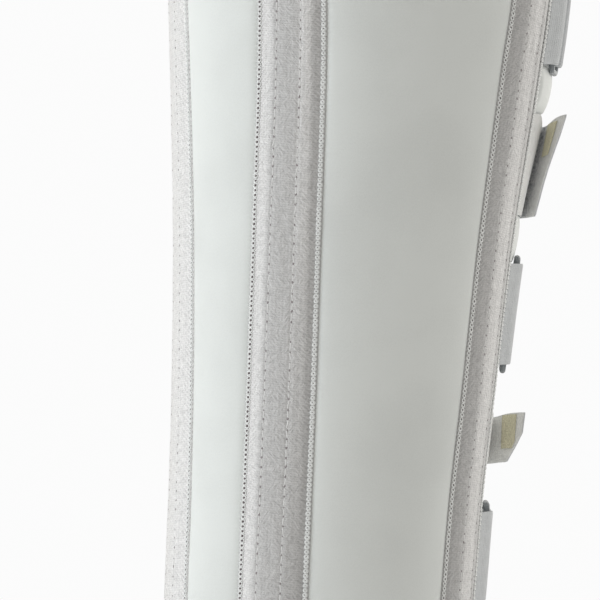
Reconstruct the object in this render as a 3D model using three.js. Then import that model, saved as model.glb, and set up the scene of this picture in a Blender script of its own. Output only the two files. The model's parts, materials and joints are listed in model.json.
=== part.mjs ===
// A knee immobilizer: an open-fronted foam wrap with four stay sleeves sewn on from rim to rim, closed
// over the shin and thigh by seven straps. Each strap is sewn to one front margin, runs through a ring
// on the other one and comes back over itself to a free end with a hook patch. Strap directions alternate.
// Millimetres, +Z up. The back of the leg is +Y and its outer (lateral) side is -X.
// A place on the wrap is a height, a way round from the back in degrees (lateral is positive), and a rise
// outward of the wrap's outer face. Near a side sleeve the way round is an offset in mm from its centre line.
import * as THREE from "three";

// Wrap
const HEIGHT = 508;
const TOP_RADIUS = 99;
const FOAM = 8;
const TWIST = 7.2;
const UNTWISTED_LEVEL = 0.82;
const MARGIN = 34;
const RIM_ROUND = 2.5;

// Stay sleeves
const SLEEVE_WIDTH = 36;
const SEAM_INSET = 1.5;
const SHOULDER = 9;
const STITCH_OFFSET = 6;
const SLEEVE_RISE = 3;
const SHOULDER_RISE = 2.6;
const TAPE = 1;
const PINCH = 1.2;
const PINCH_RUN = 3;
const SLEEVE_END_INSET = 4;
const BACK_SLEEVE_AT = 26.6;

// Straps, rings and keepers
const WIDE_STRAP = 50;
const NARROW_STRAP = 25;
const STRAP_SPACE = 24;
const STRAP_LEVEL = 0.5;
const STRAP_PRESS = 2;
const WEBBING = 1.4;
const RING_WIRE = 3;
const RING_DEPTH = 15;
const RING_CORNER = 2.5;
const RING_PLAY = 1.6;
const KEEPER_REACH = 12.8;
const RETURN_SETTLE = 22;
const FLAP_LENGTH = 20;
const FLAP_ROOT_PAST_MARGIN = 4;
const HOOK_HEIGHT = 17;
const HOOK_THICK = 0.9;
const HOOK_EDGE = 0.04;

// Clearances
const LAYER_GAP = 0.4;
const SEAT_GAP = 0.5;
const SLEEVE_GAP = 0.3;
const WIRE_GAP = 0.4;

// Sections of the wrap. level: share of HEIGHT. girth: radius and medial: shift towards the inner side,
// both as shares of TOP_RADIUS. side: way round of the side sleeves, in degrees. The back of every section
// stays on one plumb line.
const SECTIONS = [
  { level: 0, girth: 0.667, medial: 0.105, side: 106 },
  { level: 0.2, girth: 0.745, medial: 0.118, side: 106 },
  { level: 0.34, girth: 0.781, medial: 0.1, side: 106.5 },
  { level: 0.44, girth: 0.791, medial: 0.062, side: 107.3 },
  { level: 0.535, girth: 0.811, medial: 0.03, side: 108.2 },
  { level: 0.695, girth: 0.862, medial: -0.005, side: 107.4 },
  { level: 0.85, girth: 0.951, medial: -0.018, side: 104.2 },
  { level: 0.93, girth: 0.986, medial: -0.015, side: 105.5 },
  { level: 1, girth: 1, medial: -0.01, side: 106 },
];

// Free ends of the straps. along: share of the flap's length. edge: where the lower edge of the webbing
// has come to, as a share of the strap's width below its upper edge.
const WIDE_END = [
  { along: 0, edge: 1 },
  { along: 0.4, edge: 1 },
  { along: 0.48, edge: 0.67 },
  { along: 0.75, edge: 0.34 },
  { along: 1, edge: 0.05 },
];
const NARROW_END = [
  { along: 0, edge: 1 },
  { along: 0.3, edge: 1 },
  { along: 0.6, edge: 1 },
  { along: 0.8, edge: 0.71 },
  { along: 1, edge: 0.42 },
];

// Straps from the top. ring: side of the leg that carries the ring, 1 lateral and -1 medial. lift: how far
// the free end stands off the strap below it, as a share of FLAP_LENGTH. FLAP_CURL bends it away.
const STRAPS = [
  { width: WIDE_STRAP, end: WIDE_END, ring: 1, lift: 0.4 },
  { width: WIDE_STRAP, end: WIDE_END, ring: -1, lift: 0.57 },
  { width: WIDE_STRAP, end: WIDE_END, ring: 1, lift: 0.34 },
  { width: NARROW_STRAP, end: NARROW_END, ring: -1, lift: 0.72 },
  { width: WIDE_STRAP, end: WIDE_END, ring: 1, lift: 0.4 },
  { width: WIDE_STRAP, end: WIDE_END, ring: -1, lift: 0.38 },
  { width: WIDE_STRAP, end: WIDE_END, ring: 1, lift: 0.32 },
];
const MIDDLE_STRAP = 3;
const FLAP_CURL = 1.3;

// Mesh steps
const BACK_PANEL_STEPS = 3;
const SIDE_PANEL_STEPS = 8;
const MARGIN_STEPS = 3;
const FRONT_STEPS = 10;
const SETTLING_STEPS = 5;
const BEND_STEPS = 6;
const KEEPER_STEPS = 4;
const WIRE_SIDES = 6;
const CORNER_STEPS = 4;

// Colours
const FOAM_WHITE = { color: 0xd9dedc, roughness: 0.75, metalness: 0 };
const TAPE_GREY = { color: 0xb9b6b3, roughness: 0.9, metalness: 0 };
const STRAP_GREY = { color: 0xb4b9bb, roughness: 0.92, metalness: 0 };
const RING_GREY = { color: 0x9ba0a5, roughness: 0.4, metalness: 0 };
const HOOK_CREAM = { color: 0xbdb48c, roughness: 0.85, metalness: 0 };

const degrees = THREE.MathUtils.radToDeg;
const radians = THREE.MathUtils.degToRad;
const mix = THREE.MathUtils.lerp;

// Smooth value of one column of SECTIONS at a height
function sectionValue(column, z) {
  const level = THREE.MathUtils.clamp(z / HEIGHT, 0, 1);
  const last = SECTIONS.length - 1;
  const slope = (i) => {
    const before = SECTIONS[Math.max(i - 1, 0)];
    const after = SECTIONS[Math.min(i + 1, last)];
    return (after[column] - before[column]) / (after.level - before.level);
  };
  const i = Math.min(SECTIONS.findLastIndex((row) => row.level <= level), last - 1);
  const run = SECTIONS[i + 1].level - SECTIONS[i].level;
  const t = (level - SECTIONS[i].level) / run;
  const start = SECTIONS[i][column];
  const end = SECTIONS[i + 1][column];
  const startPull = (t ** 3 - 2 * t ** 2 + t) * run * slope(i);
  const endPull = (t ** 3 - t ** 2) * run * slope(i + 1);
  return start + (end - start) * (3 * t ** 2 - 2 * t ** 3) + startPull + endPull;
}

function sectionAt(z) {
  const radius = TOP_RADIUS * sectionValue("girth", z);
  return {
    radius,
    x: TOP_RADIUS * sectionValue("medial", z),
    y: TOP_RADIUS - radius,
    twist: TWIST * (UNTWISTED_LEVEL - z / HEIGHT),
  };
}

// The point at a height, a way round from the back and a rise off the wrap's outer face
function pointAt(z, around, rise) {
  const { radius, x, y, twist } = sectionAt(z);
  const turn = radians(around + twist);
  return new THREE.Vector3(x - Math.sin(turn) * (radius + rise), y + Math.cos(turn) * (radius + rise), z);
}

// The centre lines of the sleeves beside the back and of those at the sides
const backSleeve = () => BACK_SLEEVE_AT;
const sideSleeve = (z) => sectionValue("side", z);

// The way round of a line that keeps an offset in mm from a sleeve's centre line
function lineAt(z, sleeve, offset) {
  return sleeve(z) + degrees(offset / sectionAt(z).radius);
}

const EDGE_OFFSET = SLEEVE_WIDTH / 2 + MARGIN;
const SEAM = SLEEVE_WIDTH / 2 - SEAM_INSET;
const marginEdgeAt = (z) => lineAt(z, sideSleeve, EDGE_OFFSET);

// A closed solid between two grids of points, upper and lower, each given by column and row
function slab(columns, rows, upper, lower) {
  const positions = [];
  for (const face of [upper, lower]) {
    for (let c = 0; c < columns; c++) {
      for (let r = 0; r < rows; r++) positions.push(...face(c, r).toArray());
    }
  }
  const under = columns * rows;
  const up = (c, r) => c * rows + r;
  const low = (c, r) => under + c * rows + r;
  const index = [];
  const quad = (a, b, c, d) => index.push(a, b, c, a, c, d);
  for (let c = 0; c < columns - 1; c++) {
    for (let r = 0; r < rows - 1; r++) {
      quad(up(c, r), up(c + 1, r), up(c + 1, r + 1), up(c, r + 1));
      quad(low(c, r), low(c, r + 1), low(c + 1, r + 1), low(c + 1, r));
    }
    quad(up(c, 0), low(c, 0), low(c + 1, 0), up(c + 1, 0));
    quad(up(c, rows - 1), up(c + 1, rows - 1), low(c + 1, rows - 1), low(c, rows - 1));
  }
  for (let r = 0; r < rows - 1; r++) {
    quad(up(0, r), up(0, r + 1), low(0, r + 1), low(0, r));
    quad(up(columns - 1, r), low(columns - 1, r), low(columns - 1, r + 1), up(columns - 1, r + 1));
  }
  return facingOut(positions, index);
}

// A closed tube of polygon sections, each an array of points, joined end to end
function closedTube(sections) {
  const positions = sections.flat().flatMap((point) => point.toArray());
  const sides = sections[0].length;
  const index = [];
  for (let s = 0; s < sections.length; s++) {
    const next = (s + 1) % sections.length;
    for (let k = 0; k < sides; k++) {
      const turn = (k + 1) % sides;
      const a = s * sides + k;
      const b = next * sides + k;
      const c = next * sides + turn;
      const d = s * sides + turn;
      index.push(a, b, c, a, c, d);
    }
  }
  return facingOut(positions, index);
}

// Turns every face outwards and makes the geometry
function facingOut(positions, index) {
  const corner = (i) => new THREE.Vector3().fromArray(positions, 3 * index[i]);
  let volume = 0;
  for (let i = 0; i < index.length; i += 3) volume += corner(i).dot(corner(i + 1).cross(corner(i + 2)));
  if (volume < 0) index.reverse();
  const geometry = new THREE.BufferGeometry();
  geometry.setAttribute("position", new THREE.Float32BufferAttribute(positions, 3));
  geometry.setIndex(index);
  geometry.computeVertexNormals();
  return geometry;
}

// Heights of the straps' lower and upper edges, from the top strap down
function strapEdges() {
  const middle = STRAP_LEVEL * HEIGHT;
  const stack = (from, to) => {
    let sum = (STRAPS[from].width + STRAPS[to].width) / 2 + Math.abs(from - to) * STRAP_SPACE;
    for (let i = Math.min(from, to) + 1; i < Math.max(from, to); i++) sum += STRAPS[i].width;
    return from === to ? 0 : sum;
  };
  return STRAPS.map((strap, i) => {
    const centre = middle + Math.sign(MIDDLE_STRAP - i) * stack(MIDDLE_STRAP, i);
    return { low: centre - strap.width / 2, high: centre + strap.width / 2 };
  });
}
const EDGES = strapEdges();
const STRAP_ROWS = EDGES.flatMap(({ low, high }) => [low, high]).sort((a, b) => a - b);

// The wrap's columns across one sleeve: its seat, with the foam pinched in along both seams
function seatColumns(sleeve) {
  const outer = SLEEVE_WIDTH / 2 + PINCH_RUN;
  return [-outer, -SEAM, 0, SEAM, outer].map((offset) => ({
    at: (z) => lineAt(z, sleeve, offset),
    rise: Math.abs(offset) > SEAM ? 0 : -PINCH,
  }));
}

function columnsBetween(from, to, steps) {
  return Array.from({ length: steps - 1 }, (_, k) => ({
    at: (z) => mix(from.at(z), to.at(z), (k + 1) / steps),
    rise: 0,
  }));
}

// The straps press the margins in and leave the rest of the wrap as it is
function wrapColumns() {
  const edge = { at: marginEdgeAt, rise: -RIM_ROUND };
  const nearEdge = { at: (z) => lineAt(z, sideSleeve, EDGE_OFFSET - RIM_ROUND), rise: 0 };
  const side = seatColumns(sideSleeve);
  const back = seatColumns(backSleeve);
  const mirrored = (column) => ({ ...column, at: (z) => -column.at(z) });
  const margin = [side.at(-1), ...columnsBetween(side.at(-1), nearEdge, MARGIN_STEPS), nearEdge, edge];
  const lateral = [
    ...back,
    ...columnsBetween(back.at(-1), side[0], SIDE_PANEL_STEPS),
    ...side.slice(0, -1),
    ...margin.map((column) => ({ ...column, press: STRAP_PRESS })),
  ];
  const medial = lateral.map(mirrored).reverse();
  return [...medial, ...columnsBetween(medial.at(-1), lateral[0], BACK_PANEL_STEPS), ...lateral];
}

// The wrap's rows: the rims, the straps' edges, and between them the crests that swell up past the straps
function wrapRows() {
  const stops = [RIM_ROUND, ...STRAP_ROWS, HEIGHT - RIM_ROUND];
  const rows = stops.map((z, i) => ({ z, pressed: i > 0 && i < stops.length - 1 }));
  const crests = [];
  for (let i = 0; i < stops.length; i += 2) {
    crests.push({ z: (stops[i] + stops[i + 1]) / 2, pressed: false });
  }
  const rims = [0, HEIGHT].map((z) => ({ z, pressed: false, tuck: RIM_ROUND }));
  return [...rims, ...rows, ...crests].sort((a, b) => a.z - b.z);
}

function makeWrap() {
  const columns = wrapColumns();
  const rows = wrapRows();
  const upper = (c, r) => {
    const { z, pressed, tuck = 0 } = rows[r];
    const { at, rise, press = 0 } = columns[c];
    return pointAt(z, at(z), Math.min(rise, -tuck) - (pressed ? press : 0));
  };
  const lower = (c, r) => {
    const { z, tuck = 0 } = rows[r];
    const atEdge = c === 0 || c === columns.length - 1;
    const lining = -FOAM + Math.max(tuck, atEdge ? RIM_ROUND : 0) / 2;
    return pointAt(z, columns[c].at(z), lining);
  };
  return slab(columns.length, rows.length, upper, lower);
}

// A stay sleeve: woven tape whose middle stands up over the stay, flat across its top
function makeSleeve(sleeve, side) {
  const half = SLEEVE_WIDTH / 2;
  const edgeSeat = mix(-PINCH, 0, (half - SEAM) / (half + PINCH_RUN - SEAM));
  const profile = [
    { offset: -half, top: edgeSeat + SLEEVE_GAP + TAPE },
    { offset: -SEAM, top: TAPE - PINCH + SLEEVE_GAP },
    { offset: -SHOULDER, top: SHOULDER_RISE },
    { offset: -STITCH_OFFSET, top: SLEEVE_RISE },
    { offset: 0, top: SLEEVE_RISE },
    { offset: STITCH_OFFSET, top: SLEEVE_RISE },
    { offset: SHOULDER, top: SHOULDER_RISE },
    { offset: SEAM, top: TAPE - PINCH + SLEEVE_GAP },
    { offset: half, top: edgeSeat + SLEEVE_GAP + TAPE },
  ];
  const rows = [SLEEVE_END_INSET, ...STRAP_ROWS, HEIGHT - SLEEVE_END_INSET];
  const place = (z, offset, rise) => pointAt(z, side * lineAt(z, sleeve, offset), rise);
  const seat = (z, offset) => {
    const reach = Math.min(Math.abs(offset) / SEAM, 1);
    if (Math.abs(offset) > SEAM) return place(z, offset, edgeSeat + SLEEVE_GAP);
    const middle = place(z, 0, SLEEVE_GAP - PINCH);
    return middle.lerp(place(z, Math.sign(offset) * SEAM, SLEEVE_GAP - PINCH), reach);
  };
  const upper = (c, r) => place(rows[r], profile[c].offset, profile[c].top);
  const lower = (c, r) => seat(rows[r], profile[c].offset);
  return slab(profile.length, rows.length, upper, lower);
}

// Rises of the webbing's middle and of the ring over the wrap, which the straps press in
const BASE_RISE = SEAT_GAP + WEBBING / 2 - STRAP_PRESS;
const RETURN_RISE = BASE_RISE + WEBBING + LAYER_GAP;
const BEND_RADIUS = RING_WIRE / 2 + WIRE_GAP + WEBBING / 2;
const RING_RISE = BASE_RISE + BEND_RADIUS;
const TAPE_EDGE = SLEEVE_WIDTH / 2 + LAYER_GAP * 3;
const REAR_WIRE = TAPE_EDGE + KEEPER_REACH;
const FRONT_WIRE = REAR_WIRE + RING_DEPTH;

// How far a strap in tension drops below the pressed margins where it bridges the open front:
// straight off the margin's edge, then round the front of the leg
function bridgeDrop(z, around) {
  const past = Math.min(around - marginEdgeAt(z), 360 - marginEdgeAt(z) - around);
  if (past <= 0) return 0;
  const { radius } = sectionAt(z);
  const leg = radius - FOAM;
  const pressed = radius - STRAP_PRESS;
  const straight = degrees(Math.acos(leg / pressed));
  return (past < straight ? leg / Math.cos(radians(straight - past)) : leg) - pressed;
}

// Places along a strap at one height, from its sewn end: {around, rise}, and how far along the flap
function strapPath(z, strap) {
  const near = (offset) => lineAt(z, sideSleeve, offset);
  const far = (offset) => 360 - near(offset);
  const lay = (around, rise) => ({ around, rise: rise + bridgeDrop(z, around) });
  const spread = (from, to, steps) => Array.from({ length: steps + 1 }, (_, k) => mix(from, to, k / steps));
  const root = near(EDGE_OFFSET + FLAP_ROOT_PAST_MARGIN);
  const settled = far(FRONT_WIRE + RETURN_SETTLE);
  const overFront = spread(root, settled, FRONT_STEPS);
  const settling = spread(settled, far(FRONT_WIRE), SETTLING_STEPS).slice(1);
  const out = [...spread(near(TAPE_EDGE), near(EDGE_OFFSET), MARGIN_STEPS), ...overFront, ...settling];
  const outward = out.map((around) => lay(around, BASE_RISE));
  const bend = [];
  for (let k = 1; k < BEND_STEPS; k++) {
    const turn = (Math.PI * k) / BEND_STEPS - Math.PI / 2;
    const offset = FRONT_WIRE - BEND_RADIUS * Math.cos(turn);
    bend.push({ around: far(offset), rise: RING_RISE + BEND_RADIUS * Math.sin(turn) });
  }
  const overWire = RING_RISE + BEND_RADIUS - RETURN_RISE;
  const backward = [...settling.reverse(), ...overFront.reverse()].map((around) => {
    const gone = THREE.MathUtils.clamp((far(FRONT_WIRE) - around) / (far(FRONT_WIRE) - settled), 0, 1);
    return lay(around, RETURN_RISE + overWire * (1 + Math.cos(Math.PI * gone)) / 2);
  });
  const flap = strap.end.slice(1).map(({ along }) => {
    const around = near(EDGE_OFFSET + FLAP_ROOT_PAST_MARGIN - FLAP_LENGTH * along);
    const rise = RETURN_RISE + FLAP_LENGTH * strap.lift * along ** FLAP_CURL;
    return { ...lay(around, rise), along };
  });
  return [...outward, ...bend, ...backward, ...flap];
}

// Both faces of a band of webbing along a path, at one height
function bandFaces(z, path, side, thickness) {
  const middle = path.map(({ around, rise }) => pointAt(z, side * around, rise));
  return middle.map((point, i) => {
    const before = middle[Math.max(i - 1, 0)];
    const after = middle[Math.min(i + 1, middle.length - 1)];
    const along = after.clone().sub(before).setZ(0).normalize();
    const across = new THREE.Vector3(-along.y, along.x, 0).multiplyScalar(thickness / 2);
    return [point.clone().add(across), point.clone().sub(across)];
  });
}

function makeStrap(strap, { low, high }) {
  const sewn = -strap.ring;
  const heights = [low, high];
  const faces = heights.map((z) => bandFaces(z, strapPath(z, strap), sewn, WEBBING));
  const count = faces[0].length;
  const flapStart = count - strap.end.length;
  const pointOn = (face) => (c, r) => {
    const share = c > flapStart && r === 0 ? strap.end[c - flapStart].edge : 1 - r;
    return faces[1][c][face].clone().lerp(faces[0][c][face], share);
  };
  return slab(count, heights.length, pointOn(0), pointOn(1));
}

// The hook patch under a strap's free end, between the flap's first station and its last but one
function makeHook(strap, { low, high }) {
  const under = (WEBBING + HOOK_THICK) / 2 + LAYER_GAP;
  const shares = [HOOK_EDGE, Math.min(HOOK_HEIGHT / strap.width + HOOK_EDGE, 1)];
  const faces = [low, high].map((z) => {
    const flap = strapPath(z, strap).slice(1 - strap.end.length, -1);
    const stations = flap.map(({ around, rise }) => ({ around, rise: rise - under }));
    return bandFaces(z, stations, -strap.ring, HOOK_THICK);
  });
  const pointOn = (face) => (c, r) => faces[1][c][face].clone().lerp(faces[0][c][face], shares[r]);
  return slab(faces[0].length, shares.length, pointOn(0), pointOn(1));
}

// The short loop of webbing that holds a ring by its rear wire
function makeKeeper(strap, { low, high }) {
  const heights = [low, high];
  const faces = heights.map((z) => {
    const near = (offset) => lineAt(z, sideSleeve, offset);
    const path = [
      { around: near(TAPE_EDGE), rise: BASE_RISE },
      { around: near((TAPE_EDGE + REAR_WIRE) / 2), rise: BASE_RISE },
    ];
    for (let k = 0; k <= BEND_STEPS; k++) {
      const turn = (Math.PI * k) / BEND_STEPS - Math.PI / 2;
      const offset = REAR_WIRE + BEND_RADIUS * Math.cos(turn);
      path.push({ around: near(offset), rise: RING_RISE + BEND_RADIUS * Math.sin(turn) });
    }
    for (let k = 1; k <= KEEPER_STEPS; k++) {
      const share = k / KEEPER_STEPS;
      const rise = mix(RETURN_RISE, RING_RISE + BEND_RADIUS, (1 + Math.cos(Math.PI * share)) / 2);
      path.push({ around: near(mix(REAR_WIRE, TAPE_EDGE, share)), rise });
    }
    return bandFaces(z, path, strap.ring, WEBBING);
  });
  const pointOn = (face) => (c, r) => faces[r][c][face];
  return slab(faces[0].length, heights.length, pointOn(0), pointOn(1));
}

// A flat rectangular ring of round wire with rounded corners, lying along the wrap
function makeRing(strap, { low, high }) {
  const place = (z, offset) => pointAt(z, strap.ring * lineAt(z, sideSleeve, offset), RING_RISE);
  const rear = [low, high].map((z) => place(z, REAR_WIRE));
  const front = [low, high].map((z) => place(z, FRONT_WIRE));
  const rearMiddle = rear[0].clone().lerp(rear[1], 0.5);
  const frontMiddle = front[0].clone().lerp(front[1], 0.5);
  const centre = rearMiddle.clone().lerp(frontMiddle, 0.5);
  const up = front[1].clone().sub(front[0]).add(rear[1]).sub(rear[0]).normalize();
  const forward = frontMiddle.clone().sub(rearMiddle);
  const halfDepth = forward.length() / 2;
  forward.addScaledVector(up, -forward.dot(up)).normalize();
  const out = new THREE.Vector3().crossVectors(forward, up);
  const halfLength = (high - low) / 2 + RING_PLAY + RING_WIRE / 2;
  const sections = [];
  for (let quarter = 0; quarter < 4; quarter++) {
    const a = quarter === 0 || quarter === 3 ? 1 : -1;
    const b = quarter < 2 ? 1 : -1;
    for (let k = 0; k < CORNER_STEPS; k++) {
      const turn = (Math.PI / 2) * (quarter + k / (CORNER_STEPS - 1));
      const away = forward.clone().multiplyScalar(Math.cos(turn)).addScaledVector(up, Math.sin(turn));
      const bend = centre.clone();
      bend.addScaledVector(forward, a * (halfDepth - RING_CORNER));
      bend.addScaledVector(up, b * (halfLength - RING_CORNER));
      bend.addScaledVector(away, RING_CORNER);
      const wire = [];
      for (let side = 0; side < WIRE_SIDES; side++) {
        const round = (2 * Math.PI * side) / WIRE_SIDES;
        const point = bend.clone().addScaledVector(away, (RING_WIRE / 2) * Math.cos(round));
        wire.push(point.addScaledVector(out, (RING_WIRE / 2) * Math.sin(round)));
      }
      sections.push(wire);
    }
  }
  return closedTube(sections);
}

const model = new THREE.Group();

function add(name, geometry, finish) {
  const mesh = new THREE.Mesh(geometry, new THREE.MeshStandardMaterial(finish));
  mesh.name = name;
  model.add(mesh);
}

add("wrap", makeWrap(), FOAM_WHITE);
add("sleeve_lateral", makeSleeve(sideSleeve, 1), TAPE_GREY);
add("sleeve_back_lateral", makeSleeve(backSleeve, 1), TAPE_GREY);
add("sleeve_back_medial", makeSleeve(backSleeve, -1), TAPE_GREY);
add("sleeve_medial", makeSleeve(sideSleeve, -1), TAPE_GREY);
STRAPS.forEach((strap, i) => {
  add(`strap_${i + 1}`, makeStrap(strap, EDGES[i]), STRAP_GREY);
  add(`hook_patch_${i + 1}`, makeHook(strap, EDGES[i]), HOOK_CREAM);
  add(`keeper_${i + 1}`, makeKeeper(strap, EDGES[i]), STRAP_GREY);
  add(`ring_${i + 1}`, makeRing(strap, EDGES[i]), RING_GREY);
});

// Stand the model on its lower rim with the middle of its box over the origin
const box = new THREE.Box3().setFromObject(model, true);
const centre = box.getCenter(new THREE.Vector3());
model.position.set(-centre.x, -centre.y, -box.min.z);

export default model;
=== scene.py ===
"""Knee immobilizer, dressed for close views: foam wrap, woven stay sleeves with their stitching, loop
webbing straps with free ends and hook patches, keepers and plastic rings, on a plain pale stage.

Lengths are millimetres until a mesh is made, which is in metres. +Z is up the leg, +Y its back and -X
its outer (lateral) side. A place is a height, a way round from the back in degrees and a rise off the
wrap's outer face. Near a side sleeve the way round is an offset in mm from the sleeve's centre line.
"""

import json
import math

import bmesh
import bpy
from mathutils import Matrix, Vector, noise


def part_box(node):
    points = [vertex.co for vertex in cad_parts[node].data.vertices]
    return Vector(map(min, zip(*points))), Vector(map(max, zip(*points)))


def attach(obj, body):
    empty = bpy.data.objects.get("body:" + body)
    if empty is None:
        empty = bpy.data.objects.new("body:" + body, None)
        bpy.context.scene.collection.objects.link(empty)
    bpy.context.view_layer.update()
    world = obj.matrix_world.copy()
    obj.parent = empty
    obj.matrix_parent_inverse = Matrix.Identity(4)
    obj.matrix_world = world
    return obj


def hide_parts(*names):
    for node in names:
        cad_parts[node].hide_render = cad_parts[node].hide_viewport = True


bl_info = {
    "name": "Knee immobilizer",
    "version": (1, 0, 0),
    "blender": (4, 5, 0),
    "location": "View3D > Sidebar > Immobilizer",
    "description": "Builds a knee immobilizer with its foam, tape, webbing and stitching",
    "category": "Object",
}

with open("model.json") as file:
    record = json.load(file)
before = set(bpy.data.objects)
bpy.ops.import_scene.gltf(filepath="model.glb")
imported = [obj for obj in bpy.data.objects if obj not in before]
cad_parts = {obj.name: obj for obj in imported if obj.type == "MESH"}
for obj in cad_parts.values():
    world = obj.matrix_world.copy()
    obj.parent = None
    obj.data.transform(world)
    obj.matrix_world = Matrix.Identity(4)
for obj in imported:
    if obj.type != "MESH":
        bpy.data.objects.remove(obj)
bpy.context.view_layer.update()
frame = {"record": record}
MM = 0.001

# Sizes of the wrap and its sleeves, as the solids have them. From rim to rim the sleeves wind round by TWIST
# degrees, and at UNTWISTED_LEVEL of the height they are where their way round says
HEIGHT = (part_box("wrap")[1].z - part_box("wrap")[0].z) / MM
TOP_RADIUS = 99
FOAM = 8
TWIST = 7.2
UNTWISTED_LEVEL = 0.82
MARGIN = 34
SLEEVE_WIDTH = 36
SEAM = 16.5
SLEEVE_RISE = 3
STITCH_OFFSET = 6
SLEEVE_END_INSET = 4
BACK_SLEEVE_AT = 26.6
EDGE_OFFSET = SLEEVE_WIDTH / 2 + MARGIN

# Sizes of the straps, rings and keepers
WEBBING = 1.4
STRAP_PRESS = 2
SEWN_TUCK = 1.4
RING_WIRE = 3
RING_DEPTH = 15
RING_CORNER = 2.5
RING_PLAY = 1.6
KEEPER_REACH = 12.8
KEEPER_TUCK = 0.6
RETURN_SETTLE = 22
FLAP_LENGTH = 20
FLAP_CURL = 1.3
FLAP_ROOT_PAST_MARGIN = 4
HOOK_HEIGHT = 17
HOOK_THICK = 0.9
HOOK_EDGE = 0.04
LAYER_GAP = 0.4
SEAT_GAP = 0.5
WIRE_GAP = 0.4

# Places worked out from them
BASE_RISE = SEAT_GAP + WEBBING / 2 - STRAP_PRESS
RETURN_RISE = BASE_RISE + WEBBING + LAYER_GAP
BEND_RADIUS = RING_WIRE / 2 + WIRE_GAP + WEBBING / 2
RING_RISE = BASE_RISE + BEND_RADIUS
TAPE_EDGE = SLEEVE_WIDTH / 2 + LAYER_GAP * 3
REAR_WIRE = TAPE_EDGE + KEEPER_REACH
FRONT_WIRE = REAR_WIRE + RING_DEPTH
FLAP_ROOT = EDGE_OFFSET + FLAP_ROOT_PAST_MARGIN

# Sections of the wrap: share of the height, radius and shift to the inner side as shares of TOP_RADIUS,
# and the way round of the side sleeves in degrees
LEVELS = (0, 0.2, 0.34, 0.44, 0.535, 0.695, 0.85, 0.93, 1)
GIRTHS = (0.667, 0.745, 0.781, 0.791, 0.811, 0.862, 0.951, 0.986, 1)
MEDIALS = (0.105, 0.118, 0.1, 0.062, 0.03, -0.005, -0.018, -0.015, -0.01)
SIDES = (106, 106, 106.5, 107.3, 108.2, 107.4, 104.2, 105.5, 106)

# Steps of the foam's mesh, in mm: from a turned edge to where the turn ends, from a bead seam to where the
# foam lies plain, and across the seat of a sleeve
EDGE_STEPS = (0, 0.12, 0.5, 1.1, 2.0, 3.0, 4.2)
SEAM_STEPS = (0, 0.5, 1.0, 1.6, 2.4, 3.4, 4.8, 6.5)
SEAT_STEPS = (-SEAM, -11, -5.5, 0, 5.5, 11, SEAM)
CLEAR_OF_SEAM = SEAM + SEAM_STEPS[-1]

# The foam's relief, in mm: how far it is drawn in beside a seam, how far it stands out between two sleeves
# and over what run, its soft dents' depth and size, and the start and run of the margin's own relief
PINCH_REACH = 1.9
PANEL_SWELL = 1.2
PANEL_RUN = 7
DENT_DEPTH = 0.35
DENT_SIZE = 55
MARGIN_START = 0.5
MARGIN_RUN = 4
FAR_FROM_SEAM = 30.0

# How far the foam swells past its plain face in the gaps between the straps, from the upper rim down, and
# the shares of a gap's height at which it has rows
SWELLS = (0.8, 1.6, 0.2, -0.6, -0.6, -0.2, 0.2, 0.3)
GAP_SHARES = (0.04, 0.1, 0.18, 0.28, 0.39, 0.5, 0.61, 0.72, 0.82, 0.9, 0.96)

# How a sleeve's tape lies, in mm: its rise at the seams, over its ends and over the stay, the upturn of its
# lip, its crown, the nip along a lock row, its thickness, its lower face, and its unevenness
TAPE_FOOT = -0.1
TAPE_END_LIFT = 0.4
TAPE_END_RUN = 9
TAPE_TOP = SLEEVE_RISE - 0.2
TAPE_LIP = 0.35
TAPE_CROWN = 0.2
NIP_DEPTH = 0.25
NIP_WIDTH = 0.8
TAPE_THICK = 1.1
TAPE_UNDER = -0.9
TAPE_UNEVEN = 0.15

# Straps from the top: side that carries the ring, lift of the free end, the cut of its lower edge as (share
# of the flap's length, share of the strap's width below its upper edge), where the hook patch lies along the
# free end at the patch's upper and its lower edge, how far the strap's lower and upper edge dip where it
# folds back, and the painted shade in that fold
WIDE_END = ((0, 1), (0.6, 1), (0.63, 0.62), (0.78, 0.37), (1, 0.04))
NARROW_END = ((0, 1), (0.68, 1), (0.84, 0.73), (1, 0.42))
WIDE_HOOK = ((0.4, 0.78), (0.44, 0.68))
NARROW_HOOK = ((0.49, 0.86), (0.57, 0.9))
WIDE = {"end": WIDE_END, "hook": WIDE_HOOK, "dip": (1, 3), "fold": 0.6}
STRAPS = (
    {**WIDE, "ring": 1, "lift": 0.4},
    {**WIDE, "ring": -1, "lift": 0.57, "dip": (1, 5.5), "fold": 0.45},
    {**WIDE, "ring": 1, "lift": 0.34},
    {"ring": -1, "lift": 0.72, "end": NARROW_END, "hook": NARROW_HOOK, "dip": (1.8, 3.4), "fold": 1},
    {**WIDE, "ring": 1, "lift": 0.4},
    {**WIDE, "ring": -1, "lift": 0.38},
    {**WIDE, "ring": 1, "lift": 0.32},
)

# Painted light and shade across a sleeve's tape, lane by lane as the light falls, low down and high up, as
# (offset in mm, share of the full tone), the shares of the height between which it changes, and how far a
# lane's edge strays in mm
BACK_LIGHT_LANES = (
    ((-15, 1), (-11, 1.02), (-8, 0.78), (4, 0.77), (6, 0.74), (12, 0.73), (14, 0.64)),
    ((-15, 0.98), (-10.5, 0.98), (-7, 0.75), (4, 0.83), (6, 1), (10, 1.12), (12, 0.76)),
)
SIDE_LIGHT_LANES = (
    ((-15, 0.6), (-12, 0.72), (-6.6, 0.75), (-5.2, 1), (3.4, 1), (5.2, 0.72), (14, 0.7)),
    ((-15, 0.66), (-12, 0.74), (-6.6, 0.76), (-5.2, 1), (3.4, 1), (5.2, 0.7), (14, 0.68)),
)
# The inner back sleeve faces the light, so its painted light is bright all across
KEY_LIT_LANES = (((-15, 1.1), (-8, 1.08), (8, 1.06), (14, 1.1)),) * 2
LANE_CHANGE = (0.35, 0.9)
LANE_WAVER = 0.7

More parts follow.
